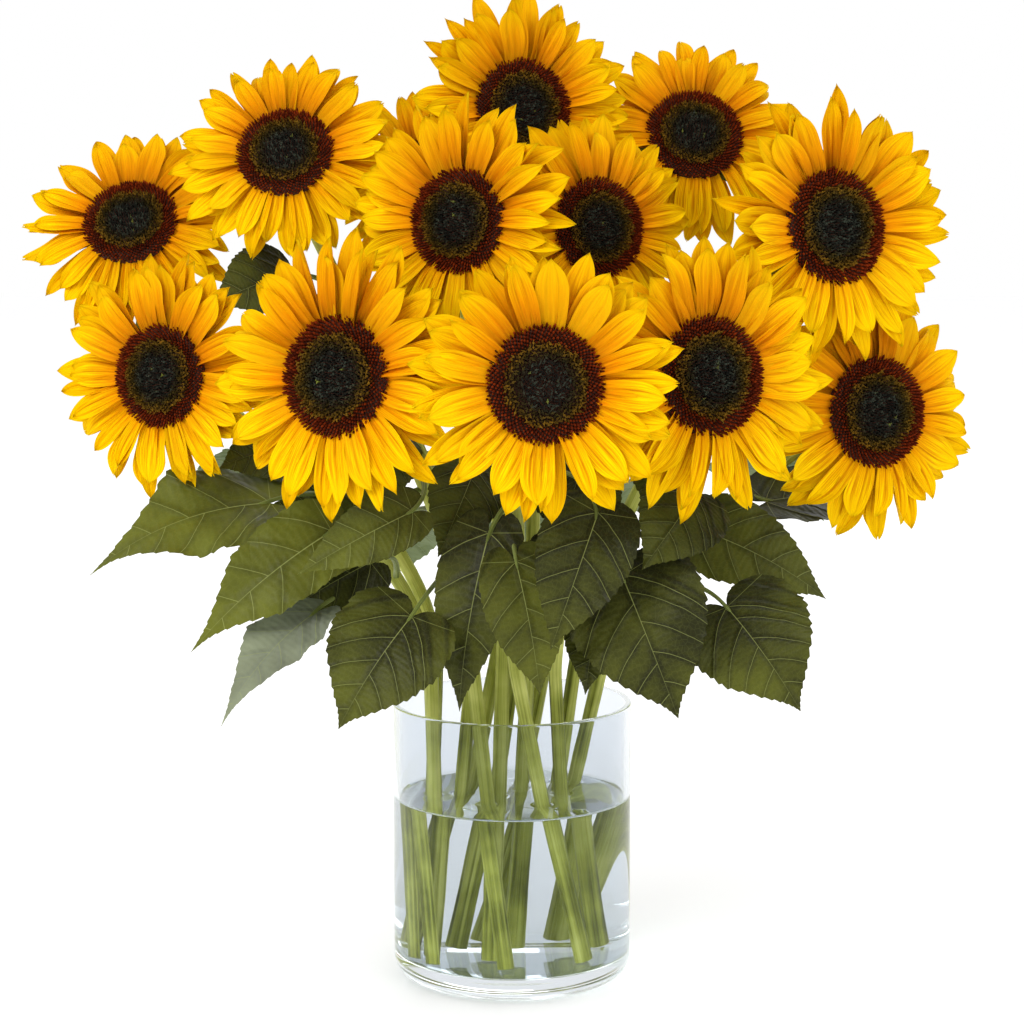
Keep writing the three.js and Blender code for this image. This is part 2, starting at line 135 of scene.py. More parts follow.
def arc(centre, radius, start, end, steps):
    """Points on an arc in the (radius, height) plane; angles in degrees from outward."""
    angles = [math.radians(start + (end - start) * k / steps) for k in range(steps + 1)]
    return [(centre[0] + radius * math.cos(a), centre[1] + radius * math.sin(a)) for a in angles]


def profile_of(*stretches):
    """One profile through the stretches. A point close to each end keeps a straight run flat."""
    points = list(stretches[0])
    for stretch in stretches[1:]:
        start, end = Vector(points[-1]), Vector(stretch[0])
        margin = (end - start).normalized() * 0.5 * MM
        points += [tuple(start + margin), tuple(end - margin), *stretch]
    return points


def wire(node, values):
    """Gives a node's sockets, by name or number, a value or a link from another socket."""
    for socket, value in values.items():
        if isinstance(value, bpy.types.NodeSocket):
            node.id_data.links.new(value, node.inputs[socket])
        else:
            node.inputs[socket].default_value = value


def add(tree, kind, inputs=(), **settings):
    """Adds a node with its settings, then wires its inputs."""
    made = tree.nodes.new(kind)
    for setting, value in settings.items():
        setattr(made, setting, value)
    wire(made, dict(inputs))
    return made


def add_math(tree, operation, first, second=0.0, third=0.0):
    """The result of a Math node."""
    return add(tree, "ShaderNodeMath", {0: first, 1: second, 2: third}, operation=operation).outputs[0]


def new_material(name):
    """A material with its tree and its Principled shader."""
    material = bpy.data.materials.new(name)
    material.use_nodes = True
    return material, material.node_tree, material.node_tree.nodes["Principled BSDF"]


def clear_material(name, tint, ior):
    """Clear glass or water. Shadows pass it, and light trapped in its walls is let out."""
    material, tree, shader = new_material(name)
    wire(
        shader,
        {
            "Base Color": (*tint, 1),
            "Metallic": 0,
            "Roughness": 0.0,
            "Transmission Weight": 1,
            "IOR": ior,
            "Specular Tint": (0.15, 0.15, 0.15, 1),
        },
    )
    path = add(tree, "ShaderNodeLightPath").outputs
    clear = add(tree, "ShaderNodeBsdfTransparent", {"Color": (*PASSING_TINT, 1)})
    trapped = add_math(tree, "GREATER_THAN", path["Glossy Depth"], TRAPPED_BOUNCES)
    let_out = add_math(tree, "MAXIMUM", path["Is Shadow Ray"], trapped)
    mix = add(tree, "ShaderNodeMixShader", {0: let_out, 1: shader.outputs[0], 2: clear.outputs[0]})
    tree.links.new(mix.outputs[0], tree.nodes["Material Output"].inputs["Surface"])
    return material


inner_radius = VASE_RADIUS - VASE_WALL
lip_height = VASE_HEIGHT - VASE_LIP
lip_arc = [
    *arc((VASE_RADIUS - VASE_LIP, lip_height), VASE_LIP, 0, 90, 6),
    *arc((inner_radius + VASE_LIP, lip_height), VASE_LIP, 90, 180, 6),
]
vase_profile = profile_of(
    [(0, 0)],
    arc((VASE_RADIUS - VASE_HEEL, VASE_HEEL), VASE_HEEL, -90, 0, 14),
    lip_arc,
    arc((inner_radius - VASE_FILLET, VASE_BASE + VASE_FILLET), VASE_FILLET, 0, -90, 8),
    [(0, VASE_BASE)],
)
vase_mesh = turned_mesh("vase_glass", vase_profile, VASE_SIDES)
clear_glass = clear_material("clear_glass", GLASS_TINT, GLASS_IOR)
finish_piece("vase_glass", vase_mesh, ["vase"], [clear_glass])

# ------------------------------------------------------------------ stems
# Each sunflower stands on one thick, ridged green stem. It is straight from its cut foot to
# the mouth of the vase, then bends out to its head and meets it square from behind.
# Each head: its place, disc radius and turn. "lean" tips its petals clear of a neighbour's.
FLOWERS = {
    "01": {"at": (-259, 70, 503), "disc": 34, "yaw": -6, "pitch": 38},
    "02": {"at": (-151, 40, 551), "disc": 34, "yaw": -6, "pitch": 32},
    "03": {"at": (6, 46, 581), "disc": 35, "yaw": 21, "pitch": 10, "lean": 0.09},
    "04": {"at": (124, 84, 562), "disc": 34.5, "yaw": 6, "pitch": 30, "lean": -0.11},
    "05": {"at": (212, 15, 504), "disc": 40, "yaw": 28, "pitch": 8, "lean": 0.1},
    "06": {"at": (-33, -40, 511), "disc": 35.5, "yaw": -28, "pitch": 9, "lean": 0.06},
    "07": {"at": (55, -8, 505), "disc": 34, "yaw": 28, "pitch": 9, "lean": -0.15},
    "08": {"at": (-231, 0, 407), "disc": 35.5, "yaw": -26, "pitch": 6},
    "09": {"at": (-109, -95, 416), "disc": 40, "yaw": -28, "pitch": 8},
    "10": {"at": (20, -150, 417), "disc": 38, "yaw": 6, "pitch": 6},
    "11": {"at": (124, -80, 415), "disc": 40, "yaw": 28, "pitch": 8},
    "12": {"at": (243, 25, 380), "disc": 38.5, "yaw": 26, "pitch": 6, "lean": -0.24},
    "13": {"at": (-61, 116, 532), "disc": 30, "yaw": -10, "pitch": 24},
}
STEM_RADIUS = 5.0 * MM
STEM_LIFT = 0.3 * MM  # keeps a foot just off the glass
STRAIGHT_STEPS = 9
BENT_STEPS = 32
# A stem passes the mouth at a share of its head's place, and more of it the lower the head is.
MOUTH_HEIGHT = 205 * MM
MOUTH_RADIUS = 60 * MM
GATHER = 0.2
GATHER_LOW = 0.4  # per metre
GATHER_HEIGHT = 500 * MM
GATHER_DEPTH = 1.3  # it is drawn in less from front to back
BACKSET = 40 * MM
# Its foot is turned round the bunch from there, so the stems cross, and stands near the wall.
TWIST = math.radians(52)
FOOT_RADIUS = 64 * MM
FAN = 0.55  # below one, the inner stems' feet stand further out
# Its neck comes to the head from behind and below.
CALYX_DEPTH = 17 * MM
NECK_REACH = 95  # millimetres
NECK_DROP = 20 * MM


def head_matrix(flower):
    """The place and turn of a head, whose own +Z is the way it faces."""
    turn = Quaternion((0, 0, 1), math.radians(flower["yaw"]))
    tip = Quaternion((1, 0, 0), math.radians(90 - flower["pitch"]))
    return Matrix.Translation(Vector(flower["at"]) * MM) @ (turn @ tip).to_matrix().to_4x4()


def stem_points(flower):
    """The stem's middle line, from its foot to the back of its head."""
    matrix = head_matrix(flower)
    centre = matrix.translation
    draw = GATHER + GATHER_LOW * (GATHER_HEIGHT - centre.z)
    mouth = Vector((centre.x * draw, (centre.y + BACKSET) * draw * GATHER_DEPTH, MOUTH_HEIGHT))
    ring = math.hypot(mouth.x, mouth.y) / MOUTH_RADIUS
    foot = Matrix.Rotation(TWIST, 3, "Z") @ Vector((mouth.x, mouth.y, 0))
    foot = foot.normalized() * FOOT_RADIUS * ring**FAN
    foot.z = VASE_BASE
    lean = (mouth - foot).normalized()
    foot.z += STEM_LIFT + STEM_RADIUS * math.sqrt(1 - lean.z**2)
    facing = (matrix.to_3x3() @ Vector((0, 0, 1))).normalized()
    end = centre - facing * CALYX_DEPTH * 0.75
    bend = centre - facing * NECK_REACH * MM - Vector((0, 0, NECK_DROP))
    rise = mouth + lean * (end - mouth).length * 0.3
    foot_part = [foot.lerp(mouth, k / STRAIGHT_STEPS) for k in range(STRAIGHT_STEPS)]
    return foot_part + interpolate_bezier(mouth, rise, bend, end, BENT_STEPS)


def new_tree(name, **wanted):
    """A Geometry Nodes tree with named inputs, listed by the kind of their sockets."""
    tree = bpy.data.node_groups.new(name, "GeometryNodeTree")
    tree.interface.new_socket("Geometry", in_out="OUTPUT", socket_type="NodeSocketGeometry")
    for kind, labels in wanted.items():
        for label in labels:
            tree.interface.new_socket(label, in_out="INPUT", socket_type="NodeSocket" + kind)
    return tree, tree.nodes.new("NodeGroupInput").outputs, tree.nodes.new("NodeGroupOutput")


def close_tree(tree, geometry, material, out):
    """Ends a tree with real geometry that wears its material."""
    real = add(tree, "GeometryNodeRealizeInstances", {"Geometry": geometry}).outputs[0]
    worn = add(tree, "GeometryNodeSetMaterial", {"Geometry": real, "Material": material})
    tree.links.new(worn.outputs[0], out.inputs[0])
    return tree


def add_stored(tree, geometry, name, value, kind, domain):
    """The geometry with a value stored on it under a name, for its material."""
    return add(
        tree,
        "GeometryNodeStoreNamedAttribute",
        {"Geometry": geometry, "Name": name, "Value": value},
        data_type=kind,
        domain=domain,
    ).outputs[0]


def grown_mesh(name, tree, values, start=None):
    """Runs a Geometry Nodes tree on a mesh or curve and returns the plain mesh it makes."""
    carrier = new_object(name, start or bpy.data.meshes.new(name))
    modifier = carrier.modifiers.new(name, "NODES")
    modifier.node_group = tree
    for item in tree.interface.items_tree:
        if item.in_out == "INPUT" and item.name in values:
            modifier[item.identifier] = values[item.name]
    carrier.update_tag()
    depsgraph = bpy.context.evaluated_depsgraph_get()
    mesh = bpy.data.meshes.new_from_object(
        carrier.evaluated_get(depsgraph), preserve_all_data_layers=True, depsgraph=depsgraph
    )
    carrier.modifiers.clear()
    bpy.data.objects.remove(carrier)
    mesh.name = name
    return mesh


def combine(tree, x=0.0, y=0.0, z=0.0):
    """A vector from its three parts."""
    return add(tree, "ShaderNodeCombineXYZ", {0: x, 1: y, 2: z}).outputs[0]


def add_noise(tree, vector, scale, detail):
    """A grey noise pattern."""
    return add(tree, "ShaderNodeTexNoise", {"Vector": vector, "Scale": scale, "Detail": detail}).outputs[0]


def add_range(tree, value, low, high, start=0.0, end=1.0, kind="LINEAR"):
    """A value moved from one range to another."""
    return add(
        tree,
        "ShaderNodeMapRange",
        {"Value": value, "From Min": low, "From Max": high, "To Min": start, "To Max": end},
        interpolation_type=kind,
    ).outputs[0]


def stalk_tree():
    """A ridged stalk along each path, which tapers to its neck and swells here and there."""
    tree, given, out = new_tree(
        "ridged_stalk",
        Geometry=["Geometry"],
        Float=["Radius", "Neck", "Ridges", "Ridge Height"],
        Int=["Sides"],
        Material=["Material"],
    )
    calc = partial(add_math, tree)

    def kept(geometry, label, value):
        """The geometry, and a value kept as it is there."""
        node = add(tree, "GeometryNodeCaptureAttribute", {"Geometry": geometry})
        node.capture_items.new("FLOAT", label)
        tree.links.new(value, node.inputs[1])
        return node.outputs

    way = add(tree, "GeometryNodeSplineParameter").outputs
    place = add(tree, "GeometryNodeInputPosition").outputs[0]
    taper = add_range(tree, way["Factor"], 0.0, 1.0, 1.0, given["Neck"])
    swell = add_range(tree, add_noise(tree, place, 22.0, 1.0), 0.3, 0.7, 0.93, 1.08)
    size = calc("MULTIPLY", calc("MULTIPLY", taper, swell), given["Radius"])
    angle = calc("MULTIPLY", calc("MULTIPLY", way["Factor"], given["Ridges"]), math.tau)
    ridge = calc("MULTIPLY_ADD", calc("SINE", angle), given["Ridge Height"], 1.0)
    circle = add(tree, "GeometryNodeCurvePrimitiveCircle", {"Resolution": given["Sides"], "Radius": 1.0})
    outward = add(tree, "ShaderNodeVectorMath", {0: place, "Scale": ridge}, operation="SCALE").outputs[0]
    ridged = {"Geometry": circle.outputs["Curve"], "Position": outward}
    section = add(tree, "GeometryNodeSetPosition", ridged).outputs[0]
    along = kept(given["Geometry"], "along", way["Length"])
    around = kept(section, "around", way["Factor"])
    swept = {"Curve": along[0], "Profile Curve": around[0], "Scale": size, "Fill Caps": True}
    skin = add(tree, "GeometryNodeCurveToMesh", swept).outputs[0]
    where = combine(tree, around[1], along[1])
    stored = add_stored(tree, skin, "stalk", where, "FLOAT_VECTOR", "POINT")
    smooth = add(tree, "GeometryNodeSetShadeSmooth", {"Geometry": stored}).outputs[0]
    return close_tree(tree, smooth, given["Material"], out)


def rgba(colour):
    """A colour with its alpha, or the socket that carries one."""
    return colour if isinstance(colour, bpy.types.NodeSocket) else (*colour, 1)


def add_ramp(tree, value, steps):
    """A colour that follows a value through (position, colour) steps."""
    ramp = add(tree, "ShaderNodeValToRGB", {"Fac": value})
    elements = ramp.color_ramp.elements
    elements[0].position, elements[0].color = steps[0][0], rgba(steps[0][1])
    elements[1].position, elements[1].color = steps[-1][0], rgba(steps[-1][1])
    for position, colour in steps[1:-1]:
        elements.new(position).color = rgba(colour)
    return ramp.outputs[0]


def add_bump(tree, height, strength, distance):
    """A normal that shows a small relief."""
    relief = {"Height": height, "Strength": strength, "Distance": distance}
    return add(tree, "ShaderNodeBump", relief).outputs[0]


def add_attribute(tree, name, output="Fac"):
    """The value that a mesh carries under a name."""
    return add(tree, "ShaderNodeAttribute", attribute_name=name).outputs[output]


def stalk_material(name, pale, middle, deep):
    """Juicy green skin with lengthwise ribs, fine fibres and a dusting of short hairs; its deep and pale rib
    stripes are partly painted shade and painted highlight.
    """
    material, tree, shader = new_material(name)
    calc = partial(add_math, tree)
    where = add(tree, "ShaderNodeSeparateXYZ", {0: add_attribute(tree, "stalk", "Vector")}).outputs
    angle = calc("MULTIPLY", where[0], math.tau)
    side = [calc("COSINE", angle), calc("SINE", angle)]

    def streaks(across, along, detail):
        """Noise drawn out along the stalk, with no seam round it."""
        x, y = (calc("MULTIPLY", part, across) for part in side)
        return add_noise(tree, combine(tree, x, y, calc("MULTIPLY", where[1], along)), 1.0, detail)

    place = add(tree, "ShaderNodeTexCoord").outputs["Object"]
    patch, hairs = add_noise(tree, place, 24.0, 3.0), add_noise(tree, place, 900.0, 2.0)
    # Deep and pale stripes along the ribs: partly the stalk's own streaks, partly painted shade and painted
    # highlight.
    ribs, fibres = streaks(1.7, 5.0, 1.0), streaks(11.0, 22.0, 3.0)
    broad = calc("MULTIPLY_ADD", ribs, 0.68, calc("MULTIPLY", patch, 0.9))
    share = add_range(tree, calc("MULTIPLY_ADD", fibres, 0.42, broad), 0.76, 1.26)
    relief = calc("MULTIPLY_ADD", hairs, 0.5, calc("MULTIPLY_ADD", ribs, 1.2, fibres))
    wire(
        shader,
        {
            "Base Color": add_ramp(tree, share, [(0.0, deep), (0.5, middle), (1.0, pale)]),
            "Normal": add_bump(tree, relief, 0.7, 0.0011),
            "Roughness": 0.45,
            "Specular IOR Level": 0.12,
        },
    )
    return material


def stalk_mesh(name, lines, radius, neck, ridges, ridge_height, sides, skin):
    """A ridged stalk along each line of points; neck is its radius there, as a share."""
    curve = bpy.data.curves.new(name, "CURVE")
    curve.dimensions = "3D"
    for line in lines:
        spline = curve.splines.new("POLY")
        spline.points.add(len(line) - 1)
        for knot, point in zip(spline.points, line):
            knot.co = (*point, 1)
    form = {"Radius": radius, "Neck": neck, "Ridges": ridges, "Ridge Height": ridge_height}
    return grown_mesh(name, ridged_stalk, {**form, "Sides": sides, "Material": skin}, curve)


stem_lines = {name: stem_points(flower) for name, flower in FLOWERS.items()}
ridged_stalk = stalk_tree()
stem_skin = stalk_material(
    "stem_skin", pale=(0.72, 0.74, 0.21), middle=(0.43, 0.46, 0.08), deep=(0.12, 0.135, 0.017)
)
stem_form = partial(stalk_mesh, radius=STEM_RADIUS, neck=0.86, ridges=7.0, ridge_height=0.035, sides=28)
for name, line in stem_lines.items():
    mesh = stem_form(f"stem_{name}", [line], skin=stem_skin)
    finish_piece(f"stem_{name}", mesh, [f"leafy_stem_{name}"])

# ------------------------------------------------------------------ water
# Still water fills two thirds of the vase and climbs the glass and each stem a little. It is
# set a hair into the glass, as water is that wets it, so that no film of air shows.
WATER_LEVEL = 123 * MM
WATER_RINGS = 44
WATER_TINT = (0.985, 0.995, 0.99)
WATER_IOR = 1.333
WETTING = 0.15 * MM
MENISCUS = 2.4 * MM  # how far from the glass or a stem the water starts to climb
CLIMB = 1.8 * MM
RIM_STEPS = 8
RIPPLE = 0.7 * MM
RIPPLE_LENGTHS = (7 * MM, 9 * MM, 13 * MM)


def point_at(line, height):
    """Where a rising line of points passes a height."""
    for low, high in zip(line, line[1:]):
        if low.z <= height <= high.z:
            return low.lerp(high, (height - low.z) / (high.z - low.z))
    return line[-1]


def water_lift(x, y, wet):
    """How far the surface stands above the water's level, past the stems that it wets."""
    reach = math.hypot(x, y) / water_radius
    long, wide, slant = RIPPLE_LENGTHS
    wave = math.sin(x / long + 1.3) * math.cos(y / wide) + math.sin((x - y) / slant)
    lift = RIPPLE * wave * (1 - reach**6) * 0.5
    for stem in wet:
        away = max(0, math.hypot(x - stem.x, y - stem.y) - STEM_RADIUS)
        lift = max(lift, lift * 0.5 + CLIMB * 0.7 * math.exp(-away / MENISCUS * 1.6))
    return lift


water_radius = inner_radius + WETTING
water_floor = VASE_BASE - WETTING
climbing = [k / RIM_STEPS for k in range(RIM_STEPS, -1, -1)]
water_rim = [(water_radius - MENISCUS * (1 - t), WATER_LEVEL + CLIMB * t**2.5) for t in climbing]
inward = [1 - k / WATER_RINGS for k in range(1, WATER_RINGS + 1)]
water_profile = profile_of(
    [(0, water_floor)],
    arc((water_radius - VASE_FILLET, water_floor + VASE_FILLET), VASE_FILLET, -90, 0, 8),
    [*water_rim, *[(water_rim[-1][0] * share, WATER_LEVEL) for share in inward]],
)
water_mesh = turned_mesh("water_body", water_profile, VASE_SIDES)
stems_at_level = [point_at(line, WATER_LEVEL) for line in stem_lines.values()]
for vertex in water_mesh.vertices:
    if abs(vertex.co.z - WATER_LEVEL) < 0.01 * MM:
        vertex.co.z += water_lift(vertex.co.x, vertex.co.y, stems_at_level)
clear_water = clear_material("clear_water", WATER_TINT, WATER_IOR)
finish_piece("water_body", water_mesh, ["water"], [clear_water])

# ------------------------------------------------------------------ leaves
# Sunflower leaves are heart-shaped, toothed and quilted between pale veins. Three veins part
# at the base and side veins branch from them. The underside is paler. Each hangs on a petiole.


def one_leaf(height, base, tip, width, looks, **look):
    """Where a petiole leaves the stem, then its blade: both ends, width, and the way it faces."""
    return {"height": height, "base": base, "tip": tip, "width": width, "looks": looks, **look}


# A few have a tone of their own, from dark to light, a painted silvery sheen, a ruffled edge, a
# slender tip, or a sideways sweep of the whole blade.
LEAVES = {
    "01": [one_leaf(325, (-165, 118, 330), (-240, 165, 285), 74, (0, 0.4, 1))],
    "02": [
        one_leaf(300, (-78, 112, 292), (-112, 185, 226), 82, (0, 0.8, 0.5)),
        one_leaf(450, (-150, 45, 470), (-200, 12, 452), 56, (0, -1, 0.5)),
        one_leaf(345, (-84, 22, 362), (-98, -4, 314), 54, (0, -1, 0.1)),
    ],
    "03": [one_leaf(300, (8, 108, 300), (2, 190, 245), 80, (0, 0.8, 0.5))],
    "04": [one_leaf(330, (88, 120, 322), (130, 195, 268), 76, (0, 0.7, 0.6))],
    "05": [
        one_leaf(292, (122, 6, 304), (210, -5, 258), 64, (0, -0.8, 0.6)),
        one_leaf(350, (150, 92, 338), (222, 130, 290), 72, (0, 0.5, 0.9)),
        one_leaf(345, (106, 4, 362), (96, -16, 308), 54, (0, -1, 0.1)),
    ],
    "06": [one_leaf(345, (-24, -34, 350), (-48, -66, 296), 52, (0, -1, 0))],
    "07": [
        one_leaf(362, (27, -14, 354), (40, -44, 298), 46, (0, -1, 0.1)),
        one_leaf(285, (26, -27, 300), (30, -35, 236), 36, (0, -1, 0.1)),
    ],
    "08": [
        one_leaf(345, (-150, 22, 356), (-196, 8, 344), 50, (0, -0.8, 0.6)),
        one_leaf(
            315, (-157, -14, 324), (-278, -34, 279), 84, (0, -0.6, 1),
            tone=0.9, ruffle=2.0, slender=0.5, sweep=0.07,
        ),
        one_leaf(288, (-108, 12, 304), (-186, 22, 296), 56, (0, -0.8, 0.6)),
        one_leaf(262, (-91, -45, 290), (-150, -36, 253), 52, (0, -1, 0.4)),
        one_leaf(
            240, (-126, -60, 260), (-187, -95, 191), 52, (-1, -1, 0.5),
            silver=0.38, ruffle=1.7, slender=0.4, sweep=-0.06,
        ),
    ],
    "09": [
        one_leaf(
            330, (-115, -50, 312), (-208, -75, 235), 60, (0, -1, 0.5),
            tone=0.9, ruffle=2.0, slender=0.45, sweep=0.06,
        ),
        one_leaf(350, (-62, -88, 330), (-136, -108, 292), 42, (0, -1, 0.3)),
        one_leaf(275, (-63, -95, 264), (-110, -121, 195), 80, (-0.25, -1, 0.3), tone=0.28),
    ],
    "10": [
        one_leaf(332, (-14, -76, 316), (-34, -88, 199), 54, (-0.3, -1, 0)),
        one_leaf(300, (2, -96, 300), (18, -98, 212), 56, (0.2, -1, 0)),
        one_leaf(345, (42, -66, 348), (70, -80, 318), 44, (0, -1, 0.2)),
        one_leaf(325, (55, -100, 332), (24, -127, 247), 64, (0, -1, 0.2)),
    ],
    "11": [
        one_leaf(290, (70, -78, 288), (106, -108, 199), 92, (0, -1, 0.2), tone=0.1),
        one_leaf(245, (54, -60, 262), (47, -88, 210), 40, (0, -1, 0)),
        one_leaf(352, (119, -56, 336), (83, -90, 292), 62, (0.2, -1, 0.5)),
    ],
    "12": [
        one_leaf(256, (139, -52, 262), (186, -86, 199), 86, (0.2, -1, 0.2), tone=0.3),
        one_leaf(320, (170, 30, 318), (256, 76, 300), 66, (0, -0.5, 1)),
    ],
    "13": [one_leaf(330, (-32, 155, 330), (-48, 222, 268), 78, (0, 0.8, 0.6))],
}
LEAF_ROWS = 96
LEAF_COLUMNS = 16
LEAF_START = 0.02  # where the skin starts, as a share of the way from base to tip
LEAF_THICKNESS = 0.5 * MM
TEETH = 24
TOOTH_SIZE = 0.036
SIDE_VEINS = 0.205  # their spacing along the midrib, as a share of the blade
VEIN_BEND = 0.02
PETIOLE_RADIUS = 2.3 * MM
PETIOLE_STEPS = 16
# Half the outline without its teeth: along the blade, and out from the midrib.
LEAF_OUTLINE = [
    (0.02, 0.0),
    (-0.07, 0.14),
    (-0.105, 0.36),
    (-0.06, 0.70),
    (0.06, 0.93),
    (0.20, 0.98),
    (0.33, 0.98),
    (0.46, 0.89),
    (0.58, 0.76),
    (0.70, 0.55),
    (0.81, 0.33),
    (0.89, 0.155),
    (0.95, 0.06),
    (1.0, 0.0),
]


def smooth_outline(corners, share):
    """A point on the smooth curve through the corners, at a share of its way."""
    last = len(corners) - 1
    reach = share * last
    k = min(int(reach), last - 1)
    t = reach - k
    around = [corners[max(k - 1, 0)], corners[k], corners[k + 1], corners[min(k + 2, last)]]
    return tuple(
        0.5 * (2 * b + (c - a) * t + (2 * a - 5 * b + 4 * c - d) * t * t + (3 * b - a - 3 * c + d) * t**3)
        for a, b, c, d in zip(*around)
    )


def leaf_axes(leaf):
    """The base of a blade, its length, and its ways along, across and out of its face."""
    base = Vector(leaf["base"]) * MM
    reach = Vector(leaf["tip"]) * MM - base
    along = reach.normalized()
    face = Vector(leaf["looks"])
    face = (face - along * face.dot(along)).normalized()
    return base, reach.length, along, face.cross(along), face


def leaf_frame(leaf, chance):
    """A function that places a point of the blade: along it, across it, and above it."""
    base, length, along, across, face = leaf_axes(leaf)
    width = leaf["width"] * MM
    waved, frilled, _, _ = [chance.uniform(0, math.tau) for _ in range(4)]
    ripple = chance.uniform(0.8, 1.2)
    ruffle, sweep = leaf.get("ruffle", 1), leaf.get("sweep", 0)

    def place(run, out, height):
        """The blade bows, is creased along its midrib, waves at its edge and swells between veins."""
        bow = length * 0.1 * 4 * run * (1 - run)
        edge = abs(out)
        crease = 0.06 * width * edge**1.3
        wave = 0.040 * ruffle * width * edge**2 * math.sin(waved + 9 * run * ripple + 2 * out)
        frill = 0.020 * ruffle * width * edge**3 * math.sin(frilled + 27 * run + 1.5 * out)
        sag = -0.06 * length * max(0, run - 0.8) ** 1.5
        aside = edge * width / 2 / length
        level = run - LEAF_START - 0.5 * aside - 1.2 * aside**2
        turn = level / SIDE_VEINS + (0.4 if out > 0 else 0)
        pillow = abs(math.sin(math.pi * turn)) * min(1, max(0, level * 12)) * min(1, 4 * edge)
        quilt = 0.009 * width * pillow
        rise = bow + crease + wave + frill + sag + quilt + height
        side = out * width * 0.5 + sweep * length * (run * run - run)
        return base + along * run * length + across * side + face * rise

    return place


def skin_of(rows, columns, vertex, side, over=None):
    """One skin of a thin body, row by row. It can share the side edges of the skin over it."""
    across = [2 * k / columns - 1 for k in range(columns + 1)]
    if not over:
        return [[vertex(row, s, side) for s in across] for row in range(rows)]
    inner = [[vertex(row, s, side) for s in across[1:-1]] for row in range(rows)]
    return [[edge[0], *line, edge[-1]] for edge, line in zip(over, inner)]


def patches_of(rows):
    """The corners of every patch between neighbouring rows."""
    return [
        [first[k], first[k + 1], second[k + 1], second[k]]
        for first, second in zip(rows, rows[1:])
        for k in range(len(first) - 1)
    ]


def lay_flat(form, label, flat):
    """Gives every corner of the faces its flat coordinates."""
    layer = form.loops.layers.uv[label]
    for face in form.faces:
        for loop in face.loops:
            loop[layer].uv = flat[loop.vert]


def toothed_edge(leaf):
    """The saw-toothed edge of a half blade: along it, and out from the midrib."""
    edge = []
    for row in range(1, LEAF_ROWS):
        share = row / LEAF_ROWS
        run, out = smooth_outline(LEAF_OUTLINE, share)
        out *= 1 - leaf.get("slender", 0) * min(1, max(0, run - 0.5) / 0.35)
        bite = (share * TEETH) % 1.0
        tooth = TOOTH_SIZE * min(1, 5 * share, 6 * (1 - share)) * (bite - 0.45)
        edge.append((run + 0.3 * tooth, out * (1 + tooth) + 0.4 * tooth))
    return edge


def add_leaf(form, flat, leaf, place, tone):
    """Adds one toothed blade to the mesh: its upper and lower skins meet at the edge."""
    # Each vertex carries its leaf's tone and its share of painted sheen.
    shade, silver = (form.verts.layers.float[label] for label in ("leaf_tone", "leaf_silver"))
    length, width = leaf_axes(leaf)[1], leaf["width"] * MM
    spine = [LEAF_START + (1 - LEAF_START) * row / LEAF_ROWS for row in range(1, LEAF_ROWS)]
    edge = toothed_edge(leaf)

    def made_at(run, out, height):
        made = form.verts.new(place(run, out, height))
        made[shade], made[silver] = tone, leaf.get("silver", 0)
        flat[made] = (out * width * 0.5 / length + 0.5, run * 0.8 + 0.15)
        return made

    def vertex(row, s, side):
        run, out = edge[row]
        lift = 1 - abs(s) ** 3
        return made_at(spine[row] + (run - spine[row]) * abs(s), out * s, side * LEAF_THICKNESS / 2 * lift)

    top = skin_of(LEAF_ROWS - 1, LEAF_COLUMNS, vertex, 1)
    under = skin_of(LEAF_ROWS - 1, LEAF_COLUMNS, vertex, -1, top)
    root, point = made_at(LEAF_START, 0, 0), made_at(1.0, 0, 0)
    for rows, upper in ((top, True), (under, False)):
        faces = patches_of(rows)
        for k in range(LEAF_COLUMNS):
            faces += [[root, rows[0][k + 1], rows[0][k]], [point, rows[-1][k], rows[-1][k + 1]]]
        # Both skins are cut into triangles the same way, or they would cross near the edge.
        for corners in faces:
            for triangle in (corners[:3], [corners[0], *corners[2:]])[: len(corners) - 2]:
                face = form.faces.new(triangle if upper else triangle[::-1])
                face.material_index = 0 if upper else 1


def petiole_points(leaf, place, line):
    """The leaf stalk's middle line, from inside the stem to a little way into the blade."""
    base, _, along, _, face = leaf_axes(leaf)
    low = leaf["height"] * MM
    start = next((point for point in line if point.z >= low), line[-1])
    reach = (base - start).length
    knee = base - along * 0.3 * reach + face * 0.05 * reach
    end = place(0.1, 0, -1.7 * MM)
    steps = [k / PETIOLE_STEPS for k in range(PETIOLE_STEPS + 1)]
    return [start * (1 - t) ** 2 + knee * 2 * t * (1 - t) + end * t * t for t in steps]


